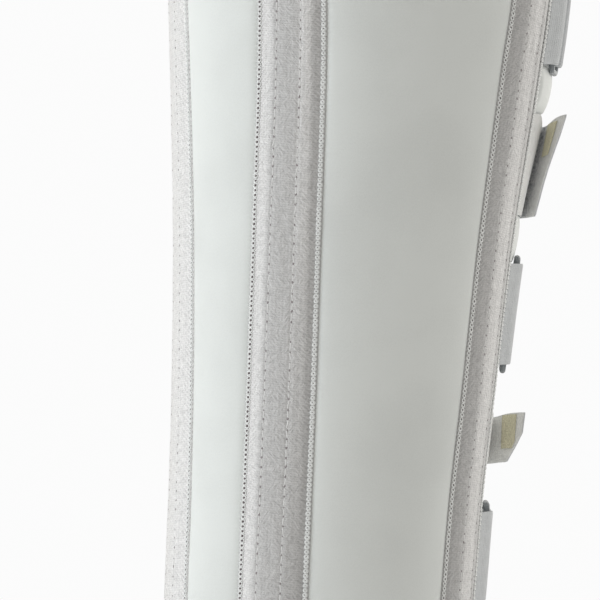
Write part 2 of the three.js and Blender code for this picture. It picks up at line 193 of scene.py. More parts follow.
# Sizes in mm, along a sleeve and across it, of the waver of a lane's edge and of the tape's unevenness
WAVER_ALONG = 7
WAVER_ACROSS = 30
UNEVEN_ALONG = 14
UNEVEN_ACROSS = 3

# Rows of stitches: how far a bead row and a lock row stop short of the tape's ends, in mm, and the values of
# their trees, with lengths in metres
BEAD_INSET = 2
LOCK_INSET = 9
LOCK_RISE = SLEEVE_RISE - 0.45
BEAD_LOOP = {"Stroke Length": 0.0027, "Tip": 0.2, "Waver": 0.12}
HOLE_SLIMNESS = 0.75
LOCK_STROKE = {
    "Stroke Length": 0.0034,
    "Width": 0.0006,
    "Arch": 0.0001,
    "Turn": math.pi / 2,
    "Slant": 0.1,
    "Waver": 0.15,
}
LOCK_PRICK = {"Stroke Length": 0.0011, "Width": 0.0012, "Lift": 0.0001, "Uneven": 0.3}

# Bead rows of a sleeve: side of its centre line, rise in mm, and in metres the loop's thread, the length of
# the dark hole that paints the shade in the loop, and how far it stands over the row
BACK_BEADS = (
    {"edge": "rear", "side": -1, "rise": 0.3, "thread": 0.0008, "hole": 0.0024, "lift": 0.0004},
    {"edge": "front", "side": 1, "rise": 0.3, "thread": 0.0012, "hole": 0.001, "lift": 0.0},
)
SIDE_BEADS = (
    {"edge": "rear", "side": -1, "rise": 0.3, "thread": 0.0008, "hole": 0.0024, "lift": 0.0005},
    {"edge": "front", "side": 1, "rise": 0.9, "thread": 0.001, "hole": 0.0013, "lift": 0.0004},
)

# The fold of a free end: the colour of the shade painted into it, and how far its dip and its painted shade
# reach in mm, along the free end and along the rest of the strap
FOLD_SHADE_COLOR = (0.1, 0.12, 0.17)
DIP_REACH = (10, 10)
SHADE_REACH = (8, 14)

# Steps of half a turn round a ring's wire, and how close two points of a mesh count as one, in metres
BEND_STEPS = 14
MERGE_DISTANCE = 1e-6

# Lights: the way from the object's middle towards the camera, to its right and up, as shares of the distance
# in mm, the light's size in metres and its colour
KEY_LIGHT = {"way": (0.31, -1, -0.1), "distance": 1600, "size": 1.1, "color": (0.9, 0.96, 1)}
EDGE_LIGHT = {"way": (-0.64, 0.77, 0.15), "distance": 1500, "size": 1.0, "color": (1, 0.98, 0.94)}

# The floor's lighter and darker tone and its radius in mm
FLOOR_COLOR = (0.92, 0.92, 0.92)
FLOOR_DARK = 0.86
FLOOR_RADIUS = 1700

# How much light the wall behind and the room in front give: shares of the way from behind to in front at
# which one goes over into the other
ROOM_FROM = 0.1
WALL_FROM = -0.4

# The photograph's camera: how it looks, in degrees round from behind towards the outer side, how far
# off it stands, and the point of the picture's middle
PHOTO_TURN = 48.5
PHOTO_DISTANCE = 1700
PHOTO_SCALE = 2.0
PHOTO_SIDE = 600
PHOTO_HEIGHT = 322.5
PHOTO_SHIFT = 21
SENSOR = 36


def lerp(a, b, t):
    """Value a share of the way from one to another."""
    return a + (b - a) * t


def clamp(value, low=0.0, high=1.0):
    """Value held between two limits."""
    return max(low, min(high, value))


def spread(first, last, steps):
    """Even places from one to another, both included."""
    return [lerp(first, last, k / steps) for k in range(steps + 1)]


def section_value(column, z):
    """Smooth value of a column of the sections at a height."""
    level = clamp(z / HEIGHT)
    last = len(LEVELS) - 1
    i = min(max(k for k in range(len(LEVELS)) if LEVELS[k] <= level), last - 1)

    def slope(k):
        low, high = max(k - 1, 0), min(k + 1, last)
        return (column[high] - column[low]) / (LEVELS[high] - LEVELS[low])

    run = LEVELS[i + 1] - LEVELS[i]
    t = (level - LEVELS[i]) / run
    ease = 3 * t**2 - 2 * t**3
    pull = (t**3 - 2 * t**2 + t) * run * slope(i) + (t**3 - t**2) * run * slope(i + 1)
    return lerp(column[i], column[i + 1], ease) + pull


def radius_at(z):
    """Radius of the wrap's outer face at a height."""
    return TOP_RADIUS * section_value(GIRTHS, z)


def free_point(z, around, rise):
    """A place in the wrap's own axes, before it is set in the frame."""
    radius = radius_at(z)
    turn = math.radians(around + TWIST * (UNTWISTED_LEVEL - z / HEIGHT))
    x = TOP_RADIUS * section_value(MEDIALS, z) - math.sin(turn) * (radius + rise)
    y = TOP_RADIUS - radius + math.cos(turn) * (radius + rise)
    return Vector((x, y, z))


# The lower rim's mount lies at the back of the rim, this far inside the wrap's outer face
RIM_MOUNT_RISE = -4.6
RIM_MOUNT = Vector(frame["record"]["mounts"][0]["pos_m"]) / MM
FRAME_SHIFT = RIM_MOUNT - free_point(0, 0, RIM_MOUNT_RISE)


def point_at(z, around, rise):
    """A place in the frame, in mm."""
    return free_point(z, around, rise) + FRAME_SHIFT


def normal_at(z, around):
    """The wrap's outward direction at a place."""
    low, high = max(z - 1, 0), min(z + 1, HEIGHT)
    up = point_at(high, around, 0) - point_at(low, around, 0)
    side = point_at(z, around + 0.5, 0) - point_at(z, around - 0.5, 0)
    return up.cross(side).normalized()


def back_sleeve(z):
    """The centre line of the sleeves beside the back."""
    return BACK_SLEEVE_AT


def side_sleeve(z):
    """The centre line of the sleeves at the sides."""
    return section_value(SIDES, z)


# Each sleeve's centre line, side, how far its stay leans towards the back by the lower rim, its lanes of
# painted light and shade, and its bead rows
SLEEVES = {
    "sleeve_lateral": (side_sleeve, 1, 0.5, SIDE_LIGHT_LANES, SIDE_BEADS),
    "sleeve_back_lateral": (back_sleeve, 1, 1.6, BACK_LIGHT_LANES, BACK_BEADS),
    "sleeve_back_medial": (back_sleeve, -1, 1.6, KEY_LIT_LANES, BACK_BEADS),
    "sleeve_medial": (side_sleeve, -1, 0.5, SIDE_LIGHT_LANES, SIDE_BEADS),
}


def stay_at(z, lean):
    """Offset of a stay's middle from its sleeve's centre line."""
    return -lean * (1 - z / HEIGHT)


def line_at(z, sleeve, offset):
    """The way round of a line that keeps an offset from a sleeve's centre line."""
    return sleeve(z) + math.degrees(offset / radius_at(z))


def margin_edge_at(z):
    """The way round of the wrap's front edge."""
    return line_at(z, side_sleeve, EDGE_OFFSET)


def strap_edges(i):
    """Lower and upper edge of a strap."""
    low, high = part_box(f"strap_{i + 1}")
    return low.z / MM, high.z / MM


EDGES = [strap_edges(i) for i in range(len(STRAPS))]


def new_mesh_object(name, points, faces, uvs=None, smooth=True):
    """An object of points in mm, with one UV pair for each corner if it has any."""
    mesh = bpy.data.meshes.new(name)
    mesh.from_pydata([p * MM for p in points], [], faces)
    if uvs is not None:
        layer = mesh.uv_layers.new(name="UVMap")
        for loop in mesh.loops:
            layer.data[loop.index].uv = uvs[loop.vertex_index]
    mesh.polygons.foreach_set("use_smooth", [smooth] * len(mesh.polygons))
    mesh.update()
    obj = bpy.data.objects.new(name, mesh)
    bpy.context.collection.objects.link(obj)
    return obj


def slab(name, upper, lower, uv_of, lining=None, stored=None):
    """A closed solid between two grids of points, given by column and row. Its faces point outwards. The
    faces of the grid that lining names, 0 or 1, take the second material. Stored is an attribute's name
    with its value by column, row and grid."""
    columns, rows = len(upper), len(upper[0])
    points = [p for column in upper for p in column] + [p for column in lower for p in column]
    uvs = [uv_of(c, r) for _ in range(2) for c in range(columns) for r in range(rows)]
    under = columns * rows
    faces = []
    for c in range(columns - 1):
        for r in range(rows - 1):
            a, b = c * rows + r, (c + 1) * rows + r
            faces.append((a, b, b + 1, a + 1))
            faces.append((under + a, under + a + 1, under + b + 1, under + b))
        a, b = c * rows, (c + 1) * rows
        faces.append((a, under + a, under + b, b))
        a, b = a + rows - 1, b + rows - 1
        faces.append((a, b, under + b, under + a))
    for r in range(rows - 1):
        faces.append((r, r + 1, under + r + 1, under + r))
        a = (columns - 1) * rows + r
        faces.append((a, under + a, under + a + 1, a + 1))
    obj = new_mesh_object(name, points, faces, uvs)
    if lining is not None:
        per_column = 2 * (rows - 1) + 2
        for polygon in obj.data.polygons[: per_column * (columns - 1)]:
            place = polygon.index % per_column
            if place < 2 * (rows - 1) and place % 2 == lining:
                polygon.material_index = 1
    if stored is not None:
        label, value_of = stored
        attribute = obj.data.attributes.new(label, "FLOAT", "POINT")
        values = [value_of(c, r, g) for g in range(2) for c in range(columns) for r in range(rows)]
        attribute.data.foreach_set("value", values)
    face_out(obj)
    return obj


def face_out(obj):
    """Merges doubled points and turns a closed mesh's faces outwards."""
    work = bmesh.new()
    work.from_mesh(obj.data)
    bmesh.ops.remove_doubles(work, verts=work.verts, dist=MERGE_DISTANCE)
    bmesh.ops.recalc_face_normals(work, faces=work.faces)
    work.to_mesh(obj.data)
    work.free()
    obj.data.update()


def settle(obj, materials, slot, *nodes):
    """Gives a finished piece its materials and body, and hides the solids it stands for. The slot is not
    used.
    """
    places = [polygon.material_index for polygon in obj.data.polygons]
    obj.data.materials.clear()
    for material in materials:
        obj.data.materials.append(material)
    obj.data.polygons.foreach_set("material_index", places)
    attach(obj, "root")
    if nodes:
        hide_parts(*nodes)


def node(tree, kind, inputs=None, **settings):
    """Adds a node, sets its properties, and sets or links its inputs by name or place."""
    made = tree.nodes.new(kind)
    for name, value in settings.items():
        setattr(made, name, value)
    for key, value in (inputs or {}).items():
        socket = made.inputs[key]
        if isinstance(value, bpy.types.NodeSocket):
            tree.links.new(value, socket)
        else:
            socket.default_value = value
    return made


def math_node(tree, operation, *values):
    """The value of a Math node."""
    return node(tree, "ShaderNodeMath", dict(enumerate(values)), operation=operation).outputs[0]


def span_node(tree, value, low, high, to_low=0.0, to_high=1.0):
    """A value's span between two limits laid over another one, and held within it."""
    inputs = {"Value": value, 1: low, 2: high, 3: to_low, 4: to_high}
    return node(tree, "ShaderNodeMapRange", inputs).outputs[0]


def noise_node(tree, vector, scale, detail, **more):
    """A noise texture. Its first output is a value and its second a colour."""
    inputs = {"Vector": vector, "Scale": scale, "Detail": detail, **more}
    return node(tree, "ShaderNodeTexNoise", inputs).outputs


def group_tree(name, inputs, outputs):
    """A shader node group with named sockets, and its input and output nodes."""
    tree = bpy.data.node_groups.new(name, "ShaderNodeTree")
    for label, kind, default in inputs:
        socket = tree.interface.new_socket(label, in_out="INPUT", socket_type=kind)
        socket.default_value = default
    for label, kind in outputs:
        tree.interface.new_socket(label, in_out="OUTPUT", socket_type=kind)
    return tree, tree.nodes.new("NodeGroupInput"), tree.nodes.new("NodeGroupOutput")


def use_group(tree, group, inputs):
    """The outputs of a shared shader node group, placed with its own values."""
    return node(tree, "ShaderNodeGroup", inputs, node_tree=node_groups()[group]).outputs


def fibre_group():
    """Fine fibres and soft blotches: a height and a shade, both about 0 to 1."""
    tree, inp, out = group_tree(
        "Fibres",
        (
            ("Vector", "NodeSocketVector", (0, 0, 0)),
            ("Fibre Size", "NodeSocketFloat", 0.0006),
            ("Blotch Size", "NodeSocketFloat", 0.02),
        ),
        (("Height", "NodeSocketFloat"), ("Shade", "NodeSocketFloat")),
    )
    fine = math_node(tree, "DIVIDE", 1.0, inp.outputs["Fibre Size"])
    coarse = math_node(tree, "DIVIDE", 1.0, inp.outputs["Blotch Size"])
    fibres = noise_node(tree, inp.outputs["Vector"], fine, 3.0, Roughness=0.6)[0]
    blotches = noise_node(tree, inp.outputs["Vector"], coarse, 2.0)[0]
    tree.links.new(fibres, out.inputs["Height"])
    fibre_share = 0.35
    shade = math_node(tree, "MULTIPLY_ADD", fibres, fibre_share, 0.0)
    shade = math_node(tree, "MULTIPLY_ADD", blotches, 1 - fibre_share, shade)
    tree.links.new(shade, out.inputs["Shade"])
    return tree


def weave_group():
    """Weft ribs crossed by warp columns, on a map in mm: a height and a mask of the dark gaps."""
    tree, inp, out = group_tree(
        "Weave",
        (
            ("Map", "NodeSocketVector", (0, 0, 0)),
            ("Rib Pitch", "NodeSocketFloat", 0.9),
            ("Warp Pitch", "NodeSocketFloat", 1.1),
            ("Slope", "NodeSocketFloat", 0.2),
        ),
        (("Height", "NodeSocketFloat"), ("Gaps", "NodeSocketFloat")),
    )
    parts = node(tree, "ShaderNodeSeparateXYZ", {0: inp.outputs["Map"]})
    across, along = parts.outputs[0], parts.outputs[1]
    stray = 0.9
    waver = noise_node(tree, inp.outputs["Map"], 0.8, 2.0)[0]
    waver = math_node(tree, "MULTIPLY_ADD", waver, stray, -stray / 2)
    sloped = math_node(tree, "MULTIPLY_ADD", across, inp.outputs["Slope"], along)
    sloped = math_node(tree, "ADD", sloped, waver)
    turns = math_node(tree, "DIVIDE", 2 * math.pi, inp.outputs["Rib Pitch"])
    ribs = math_node(tree, "SINE", math_node(tree, "MULTIPLY", sloped, turns))
    warp_turns = math_node(tree, "DIVIDE", 2 * math.pi, inp.outputs["Warp Pitch"])
    warp = math_node(tree, "SINE", math_node(tree, "MULTIPLY", across, warp_turns))
    rib_share, warp_share = 0.35, 0.15
    height = math_node(tree, "MULTIPLY_ADD", ribs, rib_share, rib_share + warp_share)
    height = math_node(tree, "MULTIPLY_ADD", warp, warp_share, height)
    tree.links.new(height, out.inputs["Height"])
    shallow, deep = 0.42, 0.1
    tree.links.new(span_node(tree, height, shallow, deep), out.inputs["Gaps"])
    return tree


def nap_group():
    """Brushed fibres that lie in two crossing directions, on a map in mm: a height from 0 to 1."""
    tree, inp, out = group_tree(
        "Nap",
        (
            ("Map", "NodeSocketVector", (0, 0, 0)),
            ("Patch Size", "NodeSocketFloat", 6.0),
        ),
        (("Height", "NodeSocketFloat"),),
    )
    drift = noise_node(tree, inp.outputs["Map"], 0.5, 1.0)[1]
    drifting = {0: drift, 1: (1.6, 1.6, 0.0), 2: inp.outputs["Map"]}
    drifted = node(tree, "ShaderNodeVectorMath", drifting, operation="MULTIPLY_ADD").outputs[0]
    lays = []
    for turn in (0.75, -0.6):
        laying = {"Vector": drifted, "Rotation": (0, 0, turn), "Scale": (0.95, 3.2, 1.0)}
        laid = node(tree, "ShaderNodeMapping", laying, vector_type="TEXTURE").outputs[0]
        lays.append(noise_node(tree, laid, 1.0, 2.0, Roughness=0.55)[0])
    coarse = math_node(tree, "DIVIDE", 1.0, inp.outputs["Patch Size"])
    patches = noise_node(tree, inp.outputs["Map"], coarse, 1.0)[0]
    share = span_node(tree, patches, 0.4, 0.6)
    mixed = node(tree, "ShaderNodeMix", {0: share, 2: lays[0], 3: lays[1]}, data_type="FLOAT")
    tree.links.new(mixed.outputs[0], out.inputs["Height"])
    return tree


def pucker_group():
    """Ripples across a tape's flank, one for each bead stitch, that fade away from the seam."""
    tree, inp, out = group_tree(
        "Puckers",
        (
            ("Distance", "NodeSocketFloat", 0.0),
            ("Along", "NodeSocketFloat", 0.0),
            ("Pitch", "NodeSocketFloat", 2.3),
            ("Reach", "NodeSocketFloat", 3.0),
        ),
        (("Height", "NodeSocketFloat"),),
    )
    turns = math_node(tree, "DIVIDE", 2 * math.pi, inp.outputs["Pitch"])
    ripple = math_node(tree, "SINE", math_node(tree, "MULTIPLY", inp.outputs["Along"], turns))
    faded = math_node(tree, "MULTIPLY", inp.outputs["Distance"], -1.0)
    faded = math_node(tree, "DIVIDE", faded, inp.outputs["Reach"])
    height = math_node(tree, "MULTIPLY", ripple, math_node(tree, "EXPONENT", faded))
    tree.links.new(height, out.inputs["Height"])
    return tree


def new_material(name, roughness, sheen=0.0, specular=0.5):
    """A material with its shader, for the finish to be linked into."""
    material = bpy.data.materials.new(name)
    material.use_nodes = True
    shader = material.node_tree.nodes["Principled BSDF"]
    shader.inputs["Roughness"].default_value = roughness
    shader.inputs["Sheen Weight"].default_value = sheen
    shader.inputs["Specular IOR Level"].default_value = specular
    return material, material.node_tree, shader


def shades(tree, shader, mask, light, dark_share):
    """Base colour by a mask, from a share of a light tone up to that tone."""
    light = tuple(light)
    dark = tuple(c * dark_share for c in light)
    ramp = node(tree, "ShaderNodeMix", {0: mask, 6: (*dark, 1), 7: (*light, 1)}, data_type="RGBA")
    tree.links.new(ramp.outputs[2], shader.inputs["Base Color"])


def raise_by(tree, shader, height, distance, strength=1.0):
    """Bump from a height."""
    bump = node(tree, "ShaderNodeBump", {"Height": height, "Distance": distance, "Strength": strength})
    tree.links.new(bump.outputs[0], shader.inputs["Normal"])


def object_coords(tree):
    """The object's own coordinates, in metres."""
    return node(tree, "ShaderNodeTexCoord").outputs["Object"]


def uv_coords(tree):
    """The piece's own map, in mm."""
    return node(tree, "ShaderNodeUVMap", uv_map="UVMap").outputs[0]


def stored_value(tree, name):
    """A value that the piece's points carry."""
    return node(tree, "ShaderNodeAttribute", attribute_name=name).outputs["Fac"]


def place_fibres(tree, fibre_size, blotch_size):
    """The fibre group's outputs over a piece, with its sizes in metres."""
    inputs = {"Vector": object_coords(tree), "Fibre Size": fibre_size, "Blotch Size": blotch_size}
    return use_group(tree, "fibres", inputs)


def place_weave(tree, rib_pitch, warp_pitch, slope=0.0):
    """The weave group's outputs on a piece's map, with its sizes in mm."""
    inputs = {"Map": uv_coords(tree), "Rib Pitch": rib_pitch, "Warp Pitch": warp_pitch, "Slope": slope}
    return use_group(tree, "weave", inputs)


def foam_finish(settings):
    """Smooth laminated foam, drawn into small puckers beside the bead seams, with painted shade that darkens
    it close to each seam.
    """
    material, tree, shader = new_material("foam_laminate_cloth", 0.62, sheen=0.15, specular=0.35)
    fibres = place_fibres(tree, 0.0007, 0.05)
    seam = stored_value(tree, "seam_mm")
    height = node(tree, "ShaderNodeSeparateXYZ", {0: object_coords(tree)}).outputs[2]
    inputs = {"Distance": seam, "Along": height, "Pitch": settings.bead_pitch, "Reach": 1.8}
    pucker = math_node(tree, "MULTIPLY", use_group(tree, "puckers", inputs)["Height"], 0.5)
    relief = math_node(tree, "MULTIPLY_ADD", fibres["Height"], 0.22, pucker)
    raise_by(tree, shader, relief, 0.0004, 0.6)
    # Painted shade: the foam's colour darkens close to each bead seam, where it is drawn in
    near = math_node(tree, "EXPONENT", math_node(tree, "MULTIPLY", seam, -0.55))
    tone = math_node(tree, "MULTIPLY_ADD", near, -0.5, fibres["Shade"])
    shades(tree, shader, span_node(tree, tone, 0.1, 0.55), settings.foam_color, 0.86)
    return material


def tape_finish(settings):
    """Brushed tape: a nap of short fibres over fine ribs, rippled beside the bead seams, with light and
    shade painted on it lane by lane. Its map is in mm, across from the sleeve's centre line and along it."""
    material, tree, shader = new_material("woven_tape_grey", 0.5, sheen=0.8, specular=0.6)
    shader.inputs["Sheen Roughness"].default_value = 0.35
    uv = uv_coords(tree)
    parts = node(tree, "ShaderNodeSeparateXYZ", {0: uv})
    nap = use_group(tree, "nap", {"Map": uv, "Patch Size": 7.0})["Height"]
    weave = place_weave(tree, 1.1, 1.7, 0.12)
    away = math_node(tree, "ABSOLUTE", parts.outputs[0])
    distance = math_node(tree, "ABSOLUTE", math_node(tree, "SUBTRACT", away, SEAM))
    rising = math_node(tree, "MULTIPLY_ADD", distance, -0.8, parts.outputs[1])
    inputs = {"Distance": distance, "Along": rising, "Pitch": settings.bead_pitch / MM, "Reach": 2.8}
    puckers = use_group(tree, "puckers", inputs)["Height"]
    relief = math_node(tree, "MULTIPLY_ADD", weave["Height"], 0.15, nap)
    relief = math_node(tree, "MULTIPLY_ADD", puckers, 0.16, relief)
    raise_by(tree, shader, relief, 0.0009, 0.7)
    span = span_node(tree, relief, 0.38, 0.74, 0.63, 0.885)
    # Painted light and shade: the stored lane tone lightens the tape where light falls on a lane and darkens
    # it where it does not
    tone = math_node(tree, "MULTIPLY", span, stored_value(tree, "painted_lane_light"))
    shades(tree, shader, tone, settings.tape_color, 0)
    return material


def band_finish(name, color, weave_share, relief_height):
    """Brushed webbing: a soft nap, with ribs of the ground weave showing through."""
    material, tree, shader = new_material(name, 0.9, sheen=0.35, specular=0.2)
    weave = place_weave(tree, 1.6, 0.9)
    fibres = place_fibres(tree, 0.0008, 0.004)
    relief = math_node(tree, "MULTIPLY_ADD", weave["Height"], weave_share, fibres["Height"])
    raise_by(tree, shader, relief, relief_height, 0.8)
    tone = math_node(tree, "MULTIPLY_ADD", weave["Gaps"], -weave_share, fibres["Shade"])
    shades(tree, shader, span_node(tree, tone, 0.1, 0.7), color, 0.8)
    return material, tree, shader


def webbing_finish(settings):
    """The plain outer side of the webbing."""
    return band_finish("loop_webbing_grey", settings.webbing_color, 0.25, 0.0005)[0]


def nap_finish(settings):
    """The loop side of the webbing, which shows where a strap is sewn down and under its free end. It is
    lighter than the outer side, partly as its own tone and partly as painted light on these shaded faces,
    and painted shade darkens it raggedly into the fold of the free end."""
    # Partly the loop side's own paler tone, partly painted light on the shaded faces under the free ends
    material, tree, shader = band_finish("loop_webbing_nap", settings.loop_side_lit_color, 0.1, 0.0008)
    shader.inputs["Sheen Weight"].default_value = 0.9
    # Painted shade: a dark blue-grey laid raggedly into the fold of the free end
    fold = stored_value(tree, "fold_shade")
    pile = place_fibres(tree, 0.0016, 0.004)["Height"]
    ragged = math_node(tree, "MULTIPLY", math_node(tree, "SUBTRACT", pile, 0.5), 4.0)
    fold = math_node(tree, "MULTIPLY_ADD", ragged, math_node(tree, "SUBTRACT", 1.0, fold), fold)
    plain = shader.inputs["Base Color"].links[0].from_socket
    fold_shaded = node(tree, "ShaderNodeMix", {0: fold, 6: (*FOLD_SHADE_COLOR, 1), 7: plain}, data_type="RGBA")
    tree.links.new(fold_shaded.outputs[2], shader.inputs["Base Color"])
    return material


def hook_finish(settings):
    """Cream hook tape: rows of fine hooks over a woven ground."""
    material, tree, shader = new_material("hook_tape_cream", 0.7, sheen=0.1, specular=0.4)
    weave = place_weave(tree, 1.0, 0.8)
    fibres = place_fibres(tree, 0.0005, 0.003)
    relief = math_node(tree, "MULTIPLY_ADD", fibres["Height"], 0.8, weave["Height"])
    raise_by(tree, shader, relief, 0.0005, 0.9)
    tone = math_node(tree, "SUBTRACT", fibres["Shade"], weave["Gaps"])
    shades(tree, shader, span_node(tree, tone, -0.5, 0.7), settings.hook_color, 0.78)
    return material


def mottled(name, color, dark_share, sizes, roughness, sheen=0.0, specular=0.5, relief=0.0):
    """A material in one mottled colour, with its tree, its shader and the fibre group's outputs. Sizes are
    the fibres' and the blotches', and relief is the fibres' height, in metres."""
    material, tree, shader = new_material(name, roughness, sheen, specular)
    fibres = place_fibres(tree, *sizes)
    if relief:
        raise_by(tree, shader, fibres["Height"], relief, 0.5)
    shades(tree, shader, fibres["Shade"], color, dark_share)
    return material, tree, shader, fibres


def blended(first, second, share):
    """A colour a share of the way from one to another."""
    return tuple(lerp(a, b, share) for a, b in zip(first, second))


def thread_finish(settings):
    """Polyester sewing thread with a fine twist."""
    color, sizes = settings.thread_color, (0.0003, 0.01)
    return mottled("sewing_thread", color, 0.85, sizes, 0.45, sheen=0.1, relief=0.0001)[0]


def sunk_thread_finish(settings):
    """Thread that has sunk into the tape and taken its tone."""
    color = blended(settings.tape_color, settings.thread_color, 0.45)
    return mottled("sunk_thread", color, 0.8, (0.0003, 0.01), 0.7, sheen=0.3, specular=0.3)[0]


def hole_finish(settings):
    """Painted shade: the dark colour in a hole where a needle went in."""
    return mottled("needle_hole_shade", settings.hole_shade_color, 0.6, (0.0004, 0.02), 0.95, specular=0.05)[0]


def prick_finish(settings):
    """Painted shade of a needle hole that the tape's nap half covers."""
    color = blended(settings.hole_shade_color, settings.tape_color, 0.2)
    return mottled("needle_prick_shade", color, 0.7, (0.0004, 0.02), 0.95, specular=0.05)[0]


def ring_finish(settings):
    """Moulded plastic with a faint bloom."""
    color, sizes = settings.ring_color, (0.0012, 0.008)
    material, tree, shader, fibres = mottled("ring_plastic_grey", color, 0.88, sizes, 0.36, relief=0.00008)
    gloss = span_node(tree, fibres["Shade"], 0.3, 0.7, 0.3, 0.45)
    tree.links.new(gloss, shader.inputs["Roughness"])
    return material


FINISHES = {
    "foam": foam_finish,
    "tape": tape_finish,
    "webbing": webbing_finish,
    "nap": nap_finish,
    "hook": hook_finish,
    "thread": thread_finish,
    "sunk_thread": sunk_thread_finish,
    "hole": hole_finish,
    "prick": prick_finish,
    "ring": ring_finish,
}
_made = {}


def node_groups():
    """The shared shader node groups, built once."""
    if "groups" not in _made:
        _made["groups"] = {
            "fibres": fibre_group(),
            "weave": weave_group(),
            "nap": nap_group(),
            "puckers": pucker_group(),
        }
    return _made["groups"]


def finish(name):
    """A material by its plain name, built once."""
    if name not in _made:
        _made[name] = FINISHES[name](bpy.context.scene.immobilizer_finish)
    return _made[name]


def halved(tree, value):
    """Half of a value."""
    return math_node(tree, "MULTIPLY", value, 0.5)


def vector_node(tree, x=0.0, y=0.0, z=0.0):
    """A vector of three values."""
    return node(tree, "ShaderNodeCombineXYZ", {0: x, 1: y, 2: z}).outputs[0]


def round_thread(tree, inp, course, capped=False):
    """Round thread along a course, smoothly shaded."""
    inputs = {"Resolution": 6, "Radius": halved(tree, inp.outputs["Width"])}
    ring = node(tree, "GeometryNodeCurvePrimitiveCircle", inputs)
    inputs = {"Curve": course, "Profile Curve": ring.outputs[0], "Fill Caps": capped}
    tube = node(tree, "GeometryNodeCurveToMesh", inputs)
    return node(tree, "GeometryNodeSetShadeSmooth", {"Geometry": tube.outputs[0]}).outputs[0]


def thread_template(tree, inp):
    """One thread stroke along X: an arch of round thread."""
    half = halved(tree, inp.outputs["Stroke Length"])
    start = vector_node(tree, math_node(tree, "MULTIPLY", half, -1.0))
    crown = vector_node(tree, z=math_node(tree, "MULTIPLY", inp.outputs["Arch"], 2.0))
    inputs = {"Resolution": 6, "Start": start, "Middle": crown, "End": vector_node(tree, half)}
    arch = node(tree, "GeometryNodeCurveQuadraticBezier", inputs)
    return round_thread(tree, inp, arch.outputs[0], capped=True)


def loop_template(tree, inp):
    """One chain loop of thread, tipped so that its far end goes under the next."""
    rim = node(tree, "GeometryNodeCurvePrimitiveCircle", {"Resolution": 12, "Radius": 1.0})
    width = inp.outputs["Width"]
    across = halved(tree, math_node(tree, "SUBTRACT", inp.outputs["Stroke Length"], width))
    overlap = 0.62
    along = math_node(tree, "MULTIPLY", math_node(tree, "SUBTRACT", inp.outputs["Pitch"], width), overlap)
    inputs = {"Geometry": rim.outputs[0], "Scale": vector_node(tree, across, along, 1.0)}
    oval = node(tree, "GeometryNodeTransform", inputs)
    tube = round_thread(tree, inp, oval.outputs[0])
    turned = node(tree, "FunctionNodeEulerToRotation", {0: vector_node(tree, inp.outputs["Tip"])})
    tipped = node(tree, "GeometryNodeTransform", {"Geometry": tube})
    tree.links.new(turned.outputs[0], tipped.inputs["Rotation"])
    return tipped.outputs[0]


def hole_template(tree, inp):
    """One needle hole: a shallow oval that lies in the cloth, coloured dark as the hole's painted shade."""
    half = halved(tree, inp.outputs["Stroke Length"])
    ball = node(tree, "GeometryNodeMeshIcoSphere", {"Radius": 1.0, "Subdivisions": 2})
    wide = halved(tree, inp.outputs["Width"])
    size = vector_node(tree, half, wide, halved(tree, wide))
    flat = node(tree, "GeometryNodeTransform", {"Geometry": ball.outputs[0], "Scale": size})
    return node(tree, "GeometryNodeSetShadeSmooth", {"Geometry": flat.outputs[0]}).outputs[0]


ROW_INPUTS = (
    ("Pitch", "NodeSocketFloat", 0.0023),
    ("Stroke Length", "NodeSocketFloat", 0.0026),
    ("Width", "NodeSocketFloat", 0.0008),
    ("Arch", "NodeSocketFloat", 0.0004),
    ("Tip", "NodeSocketFloat", 0.0),
    ("Uneven", "NodeSocketFloat", 0.08),
    ("Turn", "NodeSocketFloat", 0.0),
    ("Slant", "NodeSocketFloat", 0.0),
    ("Waver", "NodeSocketFloat", 0.08),
    ("Shift", "NodeSocketFloat", 0.0),
    ("Lift", "NodeSocketFloat", 0.0),
    ("Seed", "NodeSocketInt", 7),
    ("Material", "NodeSocketMaterial", None),
)


def row_points(tree, inp):
    """Points at each pitch along the rows."""
    curve = node(tree, "GeometryNodeMeshToCurve", {"Mesh": inp.outputs["Geometry"]})
    steps = node(tree, "GeometryNodeResampleCurve", {"Curve": curve.outputs[0]}, mode="LENGTH")
    tree.links.new(inp.outputs["Pitch"], steps.inputs["Length"])
    return steps.outputs[0]


def chance_node(tree, inp, low, high):
    """A random value for each point, from the row's seed."""
    inputs = {2: low, 3: high, "Seed": inp.outputs["Seed"]}
    return node(tree, "FunctionNodeRandomValue", inputs, data_type="FLOAT").outputs[1]


def stitch_turn(tree, inp):
    """How far a stitch is turned in the cloth: its own turn, slanted to and fro, with a random waver."""
    index = node(tree, "GeometryNodeInputIndex").outputs[0]
    odd = math_node(tree, "MULTIPLY_ADD", math_node(tree, "MODULO", index, 2.0), 2.0, -1.0)
    slant = math_node(tree, "MULTIPLY", odd, inp.outputs["Slant"])
    waver = math_node(tree, "MULTIPLY", chance_node(tree, inp, -1.0, 1.0), inp.outputs["Waver"])
    return math_node(tree, "ADD", math_node(tree, "ADD", slant, waver), inp.outputs["Turn"])


def stitch_rotation(tree, turn):
    """A stitch's rotation: along its row, upright on the cloth, and turned in it."""
    tangent = node(tree, "GeometryNodeInputTangent").outputs[0]
    normal = node(tree, "GeometryNodeInputNamedAttribute", {"Name": "row_normal"}, data_type="FLOAT_VECTOR")
    align = "FunctionNodeAlignRotationToVector"
    along = node(tree, align, {"Vector": tangent}, axis="Y").outputs[0]
    stood = node(tree, align, {"Rotation": along, "Vector": normal.outputs[0]}, axis="Z", pivot_axis="Y")
    turned = node(tree, "FunctionNodeEulerToRotation", {0: vector_node(tree, z=turn)})
    inputs = {"Rotation": stood.outputs[0], "Rotate By": turned.outputs[0]}
    return node(tree, "FunctionNodeRotateRotation", inputs, rotation_space="LOCAL").outputs[0]


